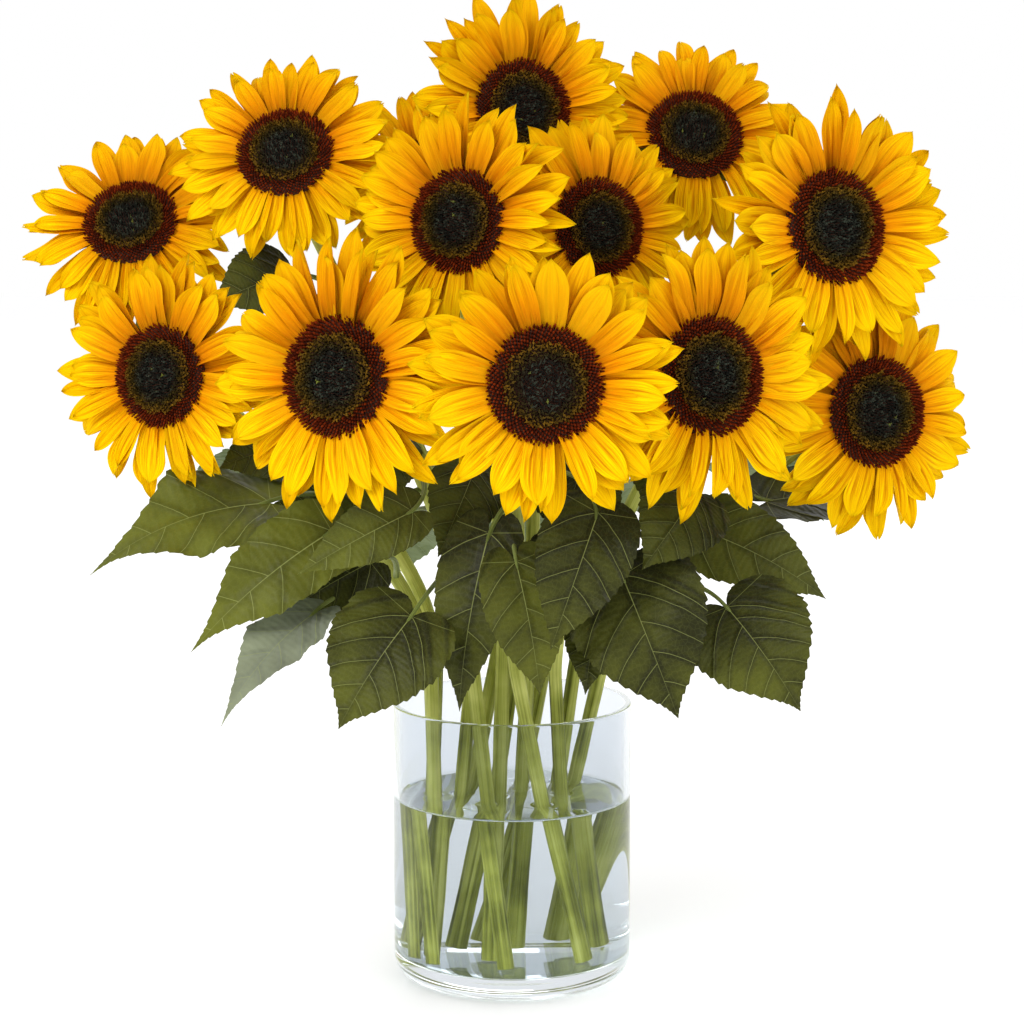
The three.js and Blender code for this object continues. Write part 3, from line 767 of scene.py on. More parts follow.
def vein_group():
    """Where the veins of a blade run, from its flat coordinates, and how it is quilted."""
    tree = bpy.data.node_groups.new("leaf_veins", "ShaderNodeTree")
    for label, kind in {"Blade": "Vector", "Spacing": "Float", "Bend": "Float"}.items():
        tree.interface.new_socket(label, in_out="INPUT", socket_type="NodeSocket" + kind)
    for label in ("Vein", "Network", "Quilt"):
        tree.interface.new_socket(label, in_out="OUTPUT", socket_type="NodeSocketFloat")
    given = tree.nodes.new("NodeGroupInput").outputs
    calc = partial(add_math, tree)

    def band(distance, width):
        """One on the line and nought beyond its width."""
        return add_range(tree, distance, 0.0, width, 1.0, 0.0, kind="SMOOTHSTEP")

    shiver = add_noise(tree, given["Blade"], 6.0, 1.0)
    drift = calc("MULTIPLY", calc("SUBTRACT", shiver, 0.5), given["Bend"])
    parts = add(tree, "ShaderNodeSeparateXYZ", {0: given["Blade"]}).outputs
    side = calc("SUBTRACT", parts[0], 0.5)
    across = calc("ABSOLUTE", side)
    run = calc("DIVIDE", calc("SUBTRACT", parts[1], 0.166), 0.8)
    # A side vein is where this level, which falls away from the midrib, stays the same.
    fall = calc("MULTIPLY", across, calc("MULTIPLY_ADD", across, 1.2, 0.5))
    level = calc("ADD", calc("SUBTRACT", run, fall), drift)
    stagger = calc("MULTIPLY", calc("GREATER_THAN", side, 0.0), 0.4)
    turn = calc("ADD", calc("DIVIDE", level, given["Spacing"]), stagger)
    cell = calc("ABSOLUTE", calc("SUBTRACT", calc("FRACT", turn), 0.5))
    side_vein = calc("MULTIPLY", calc("SUBTRACT", 0.5, cell), given["Spacing"])
    main = calc("ABSOLUTE", level)
    middle = calc("ADD", across, calc("MULTIPLY", calc("MAXIMUM", run, 0.0), 0.004))
    upper, lower = calc("GREATER_THAN", level, 0.05), calc("LESS_THAN", level, -0.01)
    angle = calc("ARCTAN2", across, run)
    reach = calc("SQRT", calc("ADD", calc("MULTIPLY", run, run), calc("MULTIPLY", across, across)))
    lobe_vein = calc("MULTIPLY", calc("ABSOLUTE", calc("SUBTRACT", angle, 1.75)), reach)
    lines = [
        band(middle, 0.0058),
        calc("MULTIPLY", band(main, 0.0040), 0.9),
        calc("MULTIPLY", calc("MULTIPLY", band(side_vein, 0.0034), upper), 0.75),
        calc("MULTIPLY", calc("MULTIPLY", band(lobe_vein, 0.0030), lower), 0.65),
    ]
    cells = {"Vector": given["Blade"], "Scale": 34.0}
    net = add(tree, "ShaderNodeTexVoronoi", cells, feature="DISTANCE_TO_EDGE").outputs[0]
    pillow = calc("MINIMUM", calc("MINIMUM", side_vein, across), main)
    rounded = add_range(tree, pillow, 0.0, 0.05, kind="SMOOTHSTEP")
    ladder = calc("SINE", calc("MULTIPLY", calc("MULTIPLY_ADD", across, 0.8, level), 150.0))
    wire(
        tree.nodes.new("NodeGroupOutput"),
        {
            "Vein": reduce(partial(calc, "MAXIMUM"), lines),
            "Network": band(net, 0.09),
            "Quilt": calc("MULTIPLY_ADD", ladder, 0.10, rounded),
        },
    )
    return tree


def add_mix(tree, share, under, over):
    """A colour with a share of another laid over it."""
    colours = {"Factor": share, "A": rgba(under), "B": rgba(over)}
    return add(tree, "ShaderNodeMix", colours, data_type="RGBA").outputs["Result"]


def leaf_material(name, veins, deep, light, vein_colour, vein_share, quilt_depth, dullness):
    """One face of a leaf: mottled green with painted shade in its quilted valleys, pale veins, a fine
    network, a quilted surface and, on some leaves, a painted silvery sheen.
    """
    material, tree, shader = new_material(name)
    calc = partial(add_math, tree)
    blade = add(tree, "ShaderNodeUVMap", uv_map="blade").outputs[0]
    flat = {"Blade": blade, "Spacing": SIDE_VEINS, "Bend": VEIN_BEND}
    lines = add(tree, "ShaderNodeGroup", flat, node_tree=veins).outputs
    place = add(tree, "ShaderNodeTexCoord").outputs["Object"]
    patches, grain = add_noise(tree, place, 26.0, 5.0), add_noise(tree, place, 420.0, 3.0)
    run = add(tree, "ShaderNodeSeparateXYZ", {0: blade}).outputs[1]
    # Painted shade: darker in the quilt's valleys next to the veins and lighter on its bulges, over the
    # leaf's own mottle; lighter towards the tip.
    mottle_and_valley_shade = calc("MULTIPLY_ADD", run, 0.30, calc("MULTIPLY_ADD", lines["Quilt"], 0.16, patches))
    amount = calc("MULTIPLY_ADD", add_attribute(tree, "leaf_tone"), 0.55, mottle_and_valley_shade)
    ground = add_mix(tree, add_range(tree, amount, 0.74, 1.42), deep, light)
    # Painted sheen: some leaves are painted silvery grey in patches, standing for a reflection on the blade.
    painted_sheen_patches = calc("MULTIPLY_ADD", patches, 1.6, 0.2)
    painted_sheen_share = calc("MULTIPLY", add_attribute(tree, "leaf_silver"), painted_sheen_patches)
    silvered = add_mix(tree, painted_sheen_share, ground, (0.42, 0.47, 0.34))
    netted = calc("MULTIPLY", lines["Network"], 0.06 * vein_share)
    strong = calc("MULTIPLY", lines["Vein"], vein_share)
    relief = calc("MULTIPLY_ADD", lines["Quilt"], quilt_depth, calc("MULTIPLY", grain, 0.35))
    wire(
        shader,
        {
            "Base Color": add_mix(tree, calc("MAXIMUM", netted, strong), silvered, vein_colour),
            "Normal": add_bump(tree, relief, 0.6, 0.0008),
            "Roughness": add_range(tree, patches, 0.3, 0.7, dullness - 0.08, dullness + 0.08),
            "Specular IOR Level": 0.12,
        },
    )
    return material


leaf_veins = vein_group()
leaf_top = leaf_material(
    "leaf_top",
    leaf_veins,
    deep=(0.018, 0.019, 0.003),
    light=(0.112, 0.122, 0.012),
    vein_colour=(0.28, 0.31, 0.09),
    vein_share=0.9,
    quilt_depth=1.6,
    dullness=0.45,
)
leaf_under = leaf_material(
    "leaf_underside",
    leaf_veins,
    deep=(0.115, 0.15, 0.06),
    light=(0.22, 0.27, 0.13),
    vein_colour=(0.36, 0.41, 0.20),
    vein_share=0.8,
    quilt_depth=-1.3,
    dullness=0.6,
)
petiole_skin = stalk_material(
    "petiole_skin", pale=(0.36, 0.41, 0.14), middle=(0.19, 0.23, 0.05), deep=(0.08, 0.10, 0.018)
)
petiole_form = partial(
    stalk_mesh, radius=PETIOLE_RADIUS, neck=0.5, ridges=3.0, ridge_height=0.06, sides=12
)
for name, leaves in LEAVES.items():
    chance = random.Random(700 + int(name))
    form = bmesh.new()
    form.loops.layers.uv.new("blade")
    for label in ("leaf_tone", "leaf_silver"):
        form.verts.layers.float.new(label)
    flat, petioles = {}, []
    for leaf in leaves:
        place = leaf_frame(leaf, chance)
        petioles.append(petiole_points(leaf, place, stem_lines[name]))
        add_leaf(form, flat, leaf, place, leaf.get("tone", 0.1 + chance.random() * 0.5))
    lay_flat(form, "blade", flat)
    mesh = mesh_of(f"leaves_{name}", form, turn_out=False)
    faces = [leaf_top, leaf_under]
    finish_piece(f"leaves_{name}", mesh, [f"leafy_stem_{name}"], faces)
    mesh = petiole_form(f"petioles_{name}", petioles, skin=petiole_skin)
    finish_piece(f"petioles_{name}", mesh, [f"leafy_stem_{name}"])

# ------------------------------------------------------------------ ray petals
# Three layers of ray petals stand round each disc: long pointed ovals with two lengthwise
# grooves, amber where they spring from the disc and golden yellow towards the tip.
PETAL_ROWS = 16
PETAL_COLUMNS = 12
PETAL_ROOT = 0.7  # its width where it springs from the disc, as a share of its greatest
PETAL_WIDEST = 0.57  # how far along it is widest
PETAL_WIDTH = 1.28  # the scale of its width, in disc radii
PETAL_SWAY = 0.10
DROOP = 0.85  # how far the lowest petals hang back, as a share of the head's pitch
# Each kind: how broad, its cup, arch, twist, curl and skew, then how blunt and notched its tip is.
PETAL_KINDS = [
    (0.37, 0.14, 0.06, 0.10, 0.10, 0.01, 0.04, 0.0),
    (0.32, 0.26, 0.10, -0.2, -0.35, 0.05, 0.14, 0.04),
    (0.42, 0.08, 0.02, 0.25, 0.30, -0.05, 0.06, 0.02),
    (0.28, 0.34, 0.12, 0.4, 0.15, 0.03, 0.03, 0.0),
    (0.35, 0.18, 0.05, -0.35, 0.45, -0.02, 0.18, 0.05),
]
# Each layer: petals, ring radius, height in millimetres, tilt, length and its spread. Radii
# and lengths are in disc radii.
PETAL_LAYERS = [
    (16, 0.81, 2.4, 0.10, 1.22, 0.12),
    (17, 0.79, 0.6, 0.02, 1.38, 0.10),
    (16, 0.77, -1.2, -0.05, 1.57, 0.10),
]


def petal_shape(name, broad, cup, arch, twist, curl, skew, tip, notch):
    """A petal one unit long, from the origin along +Y, facing +Z, as a closed thin skin."""
    form = bmesh.new()
    form.loops.layers.uv.new("petal")
    flat = {}

    def half_width(t):
        """How far the edge is from the middle line, as a share of its most."""
        if t < PETAL_WIDEST:
            return PETAL_ROOT + (1 - PETAL_ROOT) * math.sin(math.pi / 2 * t / PETAL_WIDEST) ** 1.2
        s = (t - PETAL_WIDEST) / (1 - PETAL_WIDEST)
        return tip + (1 - tip) * (1 - s**2.0) ** 0.86

    def vertex(row, s, side):
        t = (row / PETAL_ROWS) ** 0.85
        fade = math.sin(math.pi * min(1, 0.06 + t * 0.94))
        groove = -0.026 * math.exp(-(((abs(s) - 0.38) / 0.13) ** 2)) * fade
        fold = 0.009 * math.cos(14 * s + 3 * skew) * fade
        frill = 0.026 * s * s * math.sin(8 * t + 30 * skew)
        out = s * half_width(t) * broad / 2
        rise = cup * s * s * (0.25 + 0.75 * fade) * broad + groove + fold + frill
        turn = twist * t * t
        x = out * math.cos(turn) - rise * math.sin(turn) + skew * t * t
        z = out * math.sin(turn) + rise * math.cos(turn)
        z += arch * math.sin(math.pi * t) * 0.5 + curl * max(0, t - 0.55) ** 2
        y = t - 0.25 * abs(curl) * max(0, t - 0.55)
        y -= notch * math.exp(-(((abs(s) - 0.42) / 0.2) ** 2)) * t**6 + 0.03 * s * s * t**6
        made = form.verts.new((x, y, z + 0.011 * side * (1 - s**4) * (1 - t**6)))
        flat[made] = (0.5 + 0.5 * s, t)
        return made

    top, under = (skin_of(PETAL_ROWS + 1, PETAL_COLUMNS, vertex, side) for side in (1, -1))
    for corners in patches_of(top):
        form.faces.new(corners)
    for corners in patches_of(under):
        form.faces.new(corners[::-1])
    form.faces.new(top[0][::-1] + under[0])
    lay_flat(form, "petal", flat)
    bmesh.ops.remove_doubles(form, verts=form.verts, dist=1e-6)
    return bpy.data.objects.new(name, mesh_of(name, form))


def add_draw(tree, seed, number, low, high):
    """A random value for every instance; each number gives a draw of its own."""
    own = add_math(tree, "ADD", seed, float(number))
    return add(tree, "FunctionNodeRandomValue", {2: low, 3: high, "Seed": own}).outputs[1]


def add_instances(tree, count, spot, shapes, pick, turn, size):
    """A number of points with one of the shapes on each, turned and scaled."""
    points = add(tree, "GeometryNodePoints", {"Count": count, "Position": spot}).outputs[0]
    choice = add(tree, "GeometryNodeJoinGeometry")
    for shape in shapes:
        found = add(tree, "GeometryNodeObjectInfo", {"Object": shape, "As Instance": True})
        wire(choice, {0: found.outputs["Geometry"]})
    wanted = {
        "Points": points,
        "Instance": choice.outputs[0],
        "Pick Instance": True,
        "Instance Index": pick,
        "Rotation": turn,
        "Scale": size,
    }
    return add(tree, "GeometryNodeInstanceOnPoints", wanted).outputs[0]


def ring_tree():
    """A ring of petals or bracts that spread from a centre, each a little different."""
    kinds = [f"Shape {k + 1}" for k in range(len(PETAL_KINDS))]
    sizes = ["Ring Radius", "Height", "Tilt", "Tilt Spread", "Droop", "Length", "Length Spread", "Width"]
    tree, given, out = new_tree(
        "ring_of_petals",
        Object=kinds,
        Int=["Count", "Seed"],
        Float=[*sizes, "Turn"],
        Material=["Material"],
    )
    calc, drawn = partial(add_math, tree), partial(add_draw, tree, given["Seed"])
    index = add(tree, "GeometryNodeInputIndex").outputs[0]
    step = calc("ADD", calc("ADD", index, given["Turn"]), drawn(1, -0.3, 0.3))
    angle = calc("MULTIPLY", calc("DIVIDE", step, given["Count"]), math.tau)
    raised = calc("SINE", angle)
    spot = combine(
        tree,
        calc("MULTIPLY", calc("COSINE", angle), given["Ring Radius"]),
        calc("MULTIPLY", raised, given["Ring Radius"]),
        calc("ADD", given["Height"], drawn(2, -0.0006, 0.0006)),
    )
    upright = calc("MULTIPLY_ADD", drawn(3, -1.0, 1.0), given["Tilt Spread"], given["Tilt"])
    # The lowest ones hang, so they lean back most.
    lean = calc("MULTIPLY_ADD", calc("MINIMUM", raised, 0.0), given["Droop"], upright)
    heading = calc("ADD", calc("SUBTRACT", angle, math.pi / 2), drawn(4, -0.09, 0.09))
    turn = combine(tree, lean, drawn(5, -0.16, 0.16), heading)
    long = calc("MULTIPLY_ADD", drawn(6, -1.0, 1.0), given["Length Spread"], given["Length"])
    wide = calc("MULTIPLY", given["Width"], drawn(7, 0.88, 1.12))
    kind = {4: 0, 5: len(kinds) - 1, "Seed": given["Seed"]}
    pick = add(tree, "FunctionNodeRandomValue", kind, data_type="INT").outputs[2]
    shapes = [given[label] for label in kinds]
    placed = add_instances(tree, given["Count"], spot, shapes, pick, turn, combine(tree, wide, long, long))
    toned = add_stored(tree, placed, "petal_tone", drawn(8, 0.0, 1.0), "FLOAT", "INSTANCE")
    # How far up the head each petal stands; its material paints shade by it.
    stored = add_stored(tree, toned, "petal_up", raised, "FLOAT", "INSTANCE")
    return close_tree(tree, stored, given["Material"], out)


def petal_material():
    """Golden petal: amber at its root, lengthwise veins that meet at its tip, painted shade in its grooves
    and on the petals above the disc.
    """
    material, tree, shader = new_material("ray_petal")
    calc, between = partial(add_math, tree), partial(add_range, tree, kind="SMOOTHSTEP")
    petal = add(tree, "ShaderNodeUVMap", uv_map="petal").outputs[0]
    across, along, _ = add(tree, "ShaderNodeSeparateXYZ", {0: petal}).outputs
    tone, raised = add_attribute(tree, "petal_tone"), add_attribute(tree, "petal_up")
    start = combine(tree, calc("MULTIPLY", tone, 37.0), tone)

    def streaks(wide, long, detail):
        """Noise drawn out along the petal, another stretch of it on every petal."""
        stretch = add(tree, "ShaderNodeMapping", {"Vector": petal, "Scale": (wide, long, 1.0)})
        spot = add(tree, "ShaderNodeVectorMath", {0: stretch.outputs[0], 1: start}, operation="ADD")
        return add_noise(tree, spot.outputs[0], 1.0, detail)

    broad, fine = streaks(9.0, 1.1, 3.0), streaks(34.0, 1.6, 2.0)
    # Painted shade: on petals above the disc the amber root reaches further out than on those below it.
    amber_reach_and_painted_shade = calc("MULTIPLY_ADD", raised, -0.26, calc("MULTIPLY_ADD", broad, 0.5, -0.12))
    # From the root out: dark brown, amber, then golden yellow. The dark brown next to the disc is partly the
    # petal's own colour and partly painted shade.
    colour = add_ramp(
        tree,
        calc("ADD", along, amber_reach_and_painted_shade),
        [
            (0.02, (0.22, 0.034, 0.001)),
            (0.14, (0.52, 0.120, 0.001)),
            (0.32, (0.80, 0.28, 0.0005)),
            (0.56, (0.90, 0.45, 0.0005)),
            (0.82, (0.95, 0.60, 0.0005)),
        ],
    )
    # Painted shade in the two grooves, where the petal's surface folds in.
    out_of_middle = calc("ABSOLUTE", calc("SUBTRACT", across, 0.5))
    off_groove = calc("ABSOLUTE", calc("SUBTRACT", out_of_middle, 0.19))
    groove = calc("MULTIPLY", between(off_groove, 0.0, 0.07, 1.0, 0.0), between(broad, 0.35, 0.6))
    lines = calc("MULTIPLY", between(fine, 0.42, 0.60), 0.75)
    fade = between(along, 0.45, 1.0, 1.0, 0.35)
    # Veins, painted shade in the grooves, the olive tip, painted shade on the petals above the disc, and the
    # duller petals.
    coats = [
        (calc("MULTIPLY", lines, fade), (0.62, 0.21, 0.001)),
        (calc("MULTIPLY", calc("MULTIPLY", groove, fade), 0.9), (0.50, 0.165, 0.001)),
        (calc("MULTIPLY", between(along, 0.86, 1.0), 0.35), (0.62, 0.45, 0.003)),
        (between(raised, 0.1, 0.9, 0.0, 0.32), (0.56, 0.25, 0.001)),
        (between(tone, 0.6, 1.0, 0.0, 0.38), (0.70, 0.41, 0.002)),
    ]
    for share, coat in coats:
        colour = add_mix(tree, share, colour, coat)
    wire(
        shader,
        {
            "Base Color": colour,
            "Normal": add_bump(tree, calc("MULTIPLY_ADD", broad, 0.7, fine), 0.7, 0.0006),
            "Roughness": 0.6,
            "Specular IOR Level": 0.02,
            "Subsurface Weight": 0.1,
            "Subsurface Radius": (1.0, 0.5, 0.05),
            "Subsurface Scale": 0.002,
        },
    )
    return material


def grown_rings(label, flower, rows, kinds, material, width, sway, turns, seeds):
    """The rings of petals or bracts round a head, each grown from a row of their table."""
    disc = flower["disc"] * MM
    rings = []
    for number, (count, radius, height, tilt, length, spread) in enumerate(rows):
        values = {
            **{f"Shape {k + 1}": kind for k, kind in enumerate(kinds)},
            "Count": count,
            "Ring Radius": radius * disc,
            "Height": height * MM,
            "Tilt": tilt + flower.get("lean", 0),
            "Tilt Spread": sway,
            "Droop": DROOP * math.radians(flower["pitch"]),
            "Length": length * disc,
            "Length Spread": spread * disc,
            "Width": width * disc,
            "Turn": turns[0] + turns[1] * number,
            "Seed": seeds[0] + seeds[1] * number,
            "Material": material,
        }
        rings.append(grown_mesh(f"{label}_{number}", ring_of_petals, values))
    return rings


def finish_head(label, flower, meshes, node):
    """Makes one piece of the meshes, in the head's place. Their materials are kept."""
    parts = [new_object(label, mesh) for mesh in meshes]
    with bpy.context.temp_override(active_object=parts[0], selected_editable_objects=parts):
        bpy.ops.object.join()
    mesh = parts[0].data
    bpy.data.objects.remove(parts[0])
    mesh.name = label
    mesh.transform(head_matrix(flower))
    finish_piece(label, mesh, [node])


petal_kinds = [petal_shape(f"petal_shape_{k + 1}", *kind) for k, kind in enumerate(PETAL_KINDS)]
ring_of_petals = ring_tree()
golden_petal = petal_material()
petals_of = partial(
    grown_rings,
    rows=PETAL_LAYERS,
    kinds=petal_kinds,
    material=golden_petal,
    width=PETAL_WIDTH,
    sway=PETAL_SWAY,
)
for name, flower in FLOWERS.items():
    turns, seeds = (0.37 * int(name), 1 / 3), (17 * int(name), 101)
    layers = petals_of(f"petals_{name}", flower, turns=turns, seeds=seeds)
    finish_head(f"petals_{name}", flower, layers, f"rays_{name}")

# ------------------------------------------------------------------ calyx
# Behind the petals a green cup carries four rings of pointed bracts. They overlap like tiles,
# the outer two spread behind the petals and the inner two hug the cup.
BRACT_ROWS = 8
BRACT_COLUMNS = 4
BRACT_WIDTH = 0.82  # the scale of its width, in disc radii
BRACT_SWAY = 0.08
HEAD_SIDES = 48  # of the cup, and of the bed under the florets
CUP_RIM = -1.4 * MM
# Each kind: how broad, its arch and its curl.
BRACT_KINDS = [
    (0.62, 0.10, 0.12),
    (0.56, 0.16, 0.22),
    (0.66, 0.05, 0.05),
    (0.52, 0.12, 0.30),
    (0.60, 0.02, 0.18),
]
# Each ring, as a layer of petals is given.
BRACT_RINGS = [
    (15, 0.78, -3.2, -0.06, 0.74, 0.06),
    (13, 0.68, -5.2, -0.20, 0.62, 0.06),
    (12, 0.52, -10.6, 0.10, 0.60, 0.06),
    (8, 0.30, -14.6, 0.24, 0.52, 0.06),
]
# The cup's radius in disc radii, then its foot's in millimetres, and how deep below the rim.
CUP_PROFILE = [(0, 0.6), (0.72, 0.6), (0.90, 1.2), (0.93, 2.6), (0.84, 5.0), (0.62, 8.5), (0.40, 12.0)]
CUP_FOOT = [(8.0, 15.5), (5.6, 19.0), (0, 19.0)]


def bract_shape(name, broad, arch, curl):
    """A bract one unit long, a flat pointed leaf with a slender tip."""
    form = bmesh.new()
    form.loops.layers.uv.new("petal")
    flat = {}

    def vertex(row, s, side):
        t = row / BRACT_ROWS
        width = (0.9 + 0.25 * math.sin(math.pi * min(1, t * 2.2))) * (1 - t) ** 0.75 * broad / 2
        z = arch * math.sin(math.pi * t) * 0.4 - curl * t * t + 0.03 * s * s
        made = form.verts.new((s * width, t, z + 0.02 * side * (1 - s**4) * (1 - t)))
        flat[made] = (0.5 + 0.5 * s, t)
        return made

    top = skin_of(BRACT_ROWS, BRACT_COLUMNS, vertex, 1)
    under = skin_of(BRACT_ROWS, BRACT_COLUMNS, vertex, -1, top)
    point = vertex(BRACT_ROWS, 0, 0)
    for rows, way in ((top, 1), (under, -1)):
        ends = [[rows[-1][k], rows[-1][k + 1], point] for k in range(BRACT_COLUMNS)]
        for corners in patches_of(rows) + ends:
            form.faces.new(corners[::way])
    form.faces.new(top[0][::-1] + under[0][1:-1])
    lay_flat(form, "petal", flat)
    return bpy.data.objects.new(name, mesh_of(name, form))


def bract_material():
    """Fresh green with fine lengthwise veins, paler at the edges, and darker at the root, partly its own
    colour and partly painted shade where the bracts overlap.
    """
    material, tree, shader = new_material("bract_green")
    calc = partial(add_math, tree)
    blade = add(tree, "ShaderNodeUVMap", uv_map="petal").outputs[0]
    across, along, _ = add(tree, "ShaderNodeSeparateXYZ", {0: blade}).outputs
    place = add(tree, "ShaderNodeTexCoord").outputs["Object"]
    stretch = add(tree, "ShaderNodeMapping", {"Vector": blade, "Scale": (26.0, 1.6, 1.0)}).outputs[0]
    veins, patch = add_noise(tree, stretch, 1.0, 2.0), add_noise(tree, place, 60.0, 3.0)
    toned = calc("MULTIPLY_ADD", add_attribute(tree, "petal_tone"), 0.3, patch)
    # Darker towards the root: partly the bract's own colour, partly painted shade where the bracts overlap.
    share = calc("MULTIPLY_ADD", veins, 0.4, calc("MULTIPLY_ADD", along, 0.45, toned))
    green = add_ramp(tree, share, [(0.55, (0.060, 0.095, 0.012)), (1.0, (0.21, 0.27, 0.045))])
    off_middle = calc("ABSOLUTE", calc("SUBTRACT", across, 0.5))
    rim = calc("MULTIPLY", calc("GREATER_THAN", off_middle, 0.43), calc("GREATER_THAN", along, 0.05))
    relief = calc("MULTIPLY_ADD", veins, 1.5, add_noise(tree, place, 1100.0, 2.0))
    wire(
        shader,
        {
            "Base Color": add_mix(tree, calc("MULTIPLY", rim, 0.35), green, (0.34, 0.40, 0.13)),
            "Normal": add_bump(tree, relief, 0.6, 0.0005),
            "Roughness": 0.6,
            "Specular IOR Level": 0.15,
        },
    )
    return material


bract_kinds = [bract_shape(f"bract_shape_{k + 1}", *kind) for k, kind in enumerate(BRACT_KINDS)]
bract_green = bract_material()
bracts_of = partial(
    grown_rings,
    rows=BRACT_RINGS,
    kinds=bract_kinds,
    material=bract_green,
    width=BRACT_WIDTH,
    sway=BRACT_SWAY,
)
for name, flower in FLOWERS.items():
    disc = flower["disc"] * MM
    profile = [(disc * out, CUP_RIM - deep * MM) for out, deep in CUP_PROFILE]
    profile += [(out * MM, CUP_RIM - deep * MM) for out, deep in CUP_FOOT]
    cup = turned_mesh(f"cup_{name}", profile, HEAD_SIDES)
    cup.materials.append(bract_green)
    seeds = (900 + 13 * int(name), 7)
    rings = bracts_of(f"bracts_{name}", flower, turns=(0, 0.5), seeds=seeds)
    finish_head(f"bracts_{name}", flower, [cup, *rings], f"leafy_stem_{name}")

# ------------------------------------------------------------------ disc florets
# The disc is a cushion of tiny florets in crossing spirals. The outer ones are open: fuzzy
# red-brown tubes with curled tips. Inside them is an olive ring of buds, then the dark heart.
FLORETS = 1050
FLORET_OPEN = 0.69  # the open ones start at this share of the radius
FLORET_SIZE = 0.041  # in disc radii
FLORET_SIDES = 5
ARM_SIDES = 3
ARM_SIZE = 0.22
GOLDEN_ANGLE = math.pi * (3 - math.sqrt(5))
DISC_SHARE = 0.94  # how much of the disc the florets' middles take up
FLORET_FLOOR = 0.6 * MM
CUSHION_HEIGHT = 5.2 * MM
# The cushion's height over the radius, then the bed under it: radius, and height in millimetres.
CUSHION = [(0.0, 0.80), (0.30, 0.74), (0.52, 0.60), (0.66, 0.64), (0.78, 0.92), (0.90, 0.80), (1.0, 0.20)]
BED_PROFILE = [
    (0, 0.3),
    (DISC_SHARE, 0.3),
    (0.95, 1.4),
    (0.90, 4.2),
    (0.83, 5.2),
    (0.69, 3.8),
    (0.52, 3.7),
    (0.26, 4.4),
    (0, 4.6),
]


def floret_shape(name, rings, arms):
    """A floret of stacked five-sided rings, (radius, height), with curled arms on its mouth."""
    form = bmesh.new()
    tip = form.verts.layers.float.new("tip")
    top = rings[-1][1]

    def ring_of(sides, share, corner):
        """A ring of vertices, each where corner puts it for the cosine and sine of its angle."""
        angles = [math.tau * k / sides for k in range(sides)]
        made = [form.verts.new(corner(math.cos(a), math.sin(a))) for a in angles]
        for vertex in made:
            vertex[tip] = share
        return made

    def sew(rows):
        """Faces between neighbouring rings."""
        for low, high in zip(rows, rows[1:]):
            for k in range(len(low)):
                n = (k + 1) % len(low)
                form.faces.new([low[k], low[n], high[n], high[k]])

    rows = [ring_of(FLORET_SIDES, z / top, lambda c, s: (r * c, r * s, z)) for r, z in rings]
    sew(rows)
    form.faces.new(rows[-1])
    form.faces.new(rows[0][::-1])
    for turn in arms:
        turned = Matrix.Rotation(turn, 3, "Z")
        rows = []
        for number, (out, rise) in enumerate([(0.10, 0.96), (0.34, 1.22), (0.80, 1.30), (1.05, 1.12)]):
            size = ARM_SIZE * (1 - ARM_SIZE * number)
            z = top * rise
            rows.append(ring_of(ARM_SIDES, 1.0, lambda c, s: turned @ Vector((out, size * c, z + size * s))))
        sew(rows)
        form.faces.new(rows[0][::-1])
        form.faces.new(rows[-1])
    return bpy.data.objects.new(name, mesh_of(name, form, smooth=False))


def floret_tree():
    """Florets in a sunflower spiral over a low cushion."""
    tree, given, out = new_tree(
        "spiral_of_florets",
        Object=["Open Floret", "Bud"],
        Int=["Count", "Seed"],
        Float=["Disc Radius", "Floor", "Height", "Open From", "Size"],
        Material=["Material"],
    )
    calc, drawn = partial(add_math, tree), partial(add_draw, tree, given["Seed"])
    index = add(tree, "GeometryNodeInputIndex").outputs[0]
    share = calc("SQRT", calc("DIVIDE", calc("ADD", index, 0.5), given["Count"]))
    angle = calc("MULTIPLY", index, GOLDEN_ANGLE)
    radius = calc("MULTIPLY", share, given["Disc Radius"])
    cushion = add(tree, "ShaderNodeFloatCurve", {"Value": share})
    points = cushion.mapping.curves[0].points
    points[0].location, points[1].location = CUSHION[0], CUSHION[-1]
    for reach, rise in CUSHION[1:-1]:
        points.new(reach, rise)
    cushion.mapping.update()
    level = calc("MULTIPLY_ADD", cushion.outputs[0], given["Height"], given["Floor"])
    side = [calc("MULTIPLY", calc(way, angle), radius) for way in ("COSINE", "SINE")]
    ragged = calc("ADD", share, drawn(1, -0.035, 0.035))
    opened = calc("GREATER_THAN", ragged, given["Open From"])
    splay = calc("MULTIPLY", calc("POWER", share, 3.0), 0.75)
    turn = combine(tree, 0.0, calc("ADD", splay, drawn(2, -0.18, 0.18)), angle)
    growth = add_range(tree, share, 0.0, 0.6, 0.8, 1.0)
    size = calc("MULTIPLY", calc("MULTIPLY", given["Size"], drawn(3, 0.82, 1.15)), growth)
    shapes, spot = [given["Bud"], given["Open Floret"]], combine(tree, *side, level)
    scale = combine(tree, size, size, size)
    placed = add_instances(tree, given["Count"], spot, shapes, opened, turn, scale)
    spin = combine(tree, z=drawn(4, 0.0, 6.28))
    wanted = {"Instances": placed, "Rotation": spin, "Local Space": True}
    spun = add(tree, "GeometryNodeRotateInstances", wanted).outputs[0]
    ranked = add_stored(tree, spun, "reach", ragged, "FLOAT", "INSTANCE")
    toned = add_stored(tree, ranked, "floret_tone", drawn(5, 0.0, 1.0), "FLOAT", "INSTANCE")
    return close_tree(tree, toned, given["Material"], out)


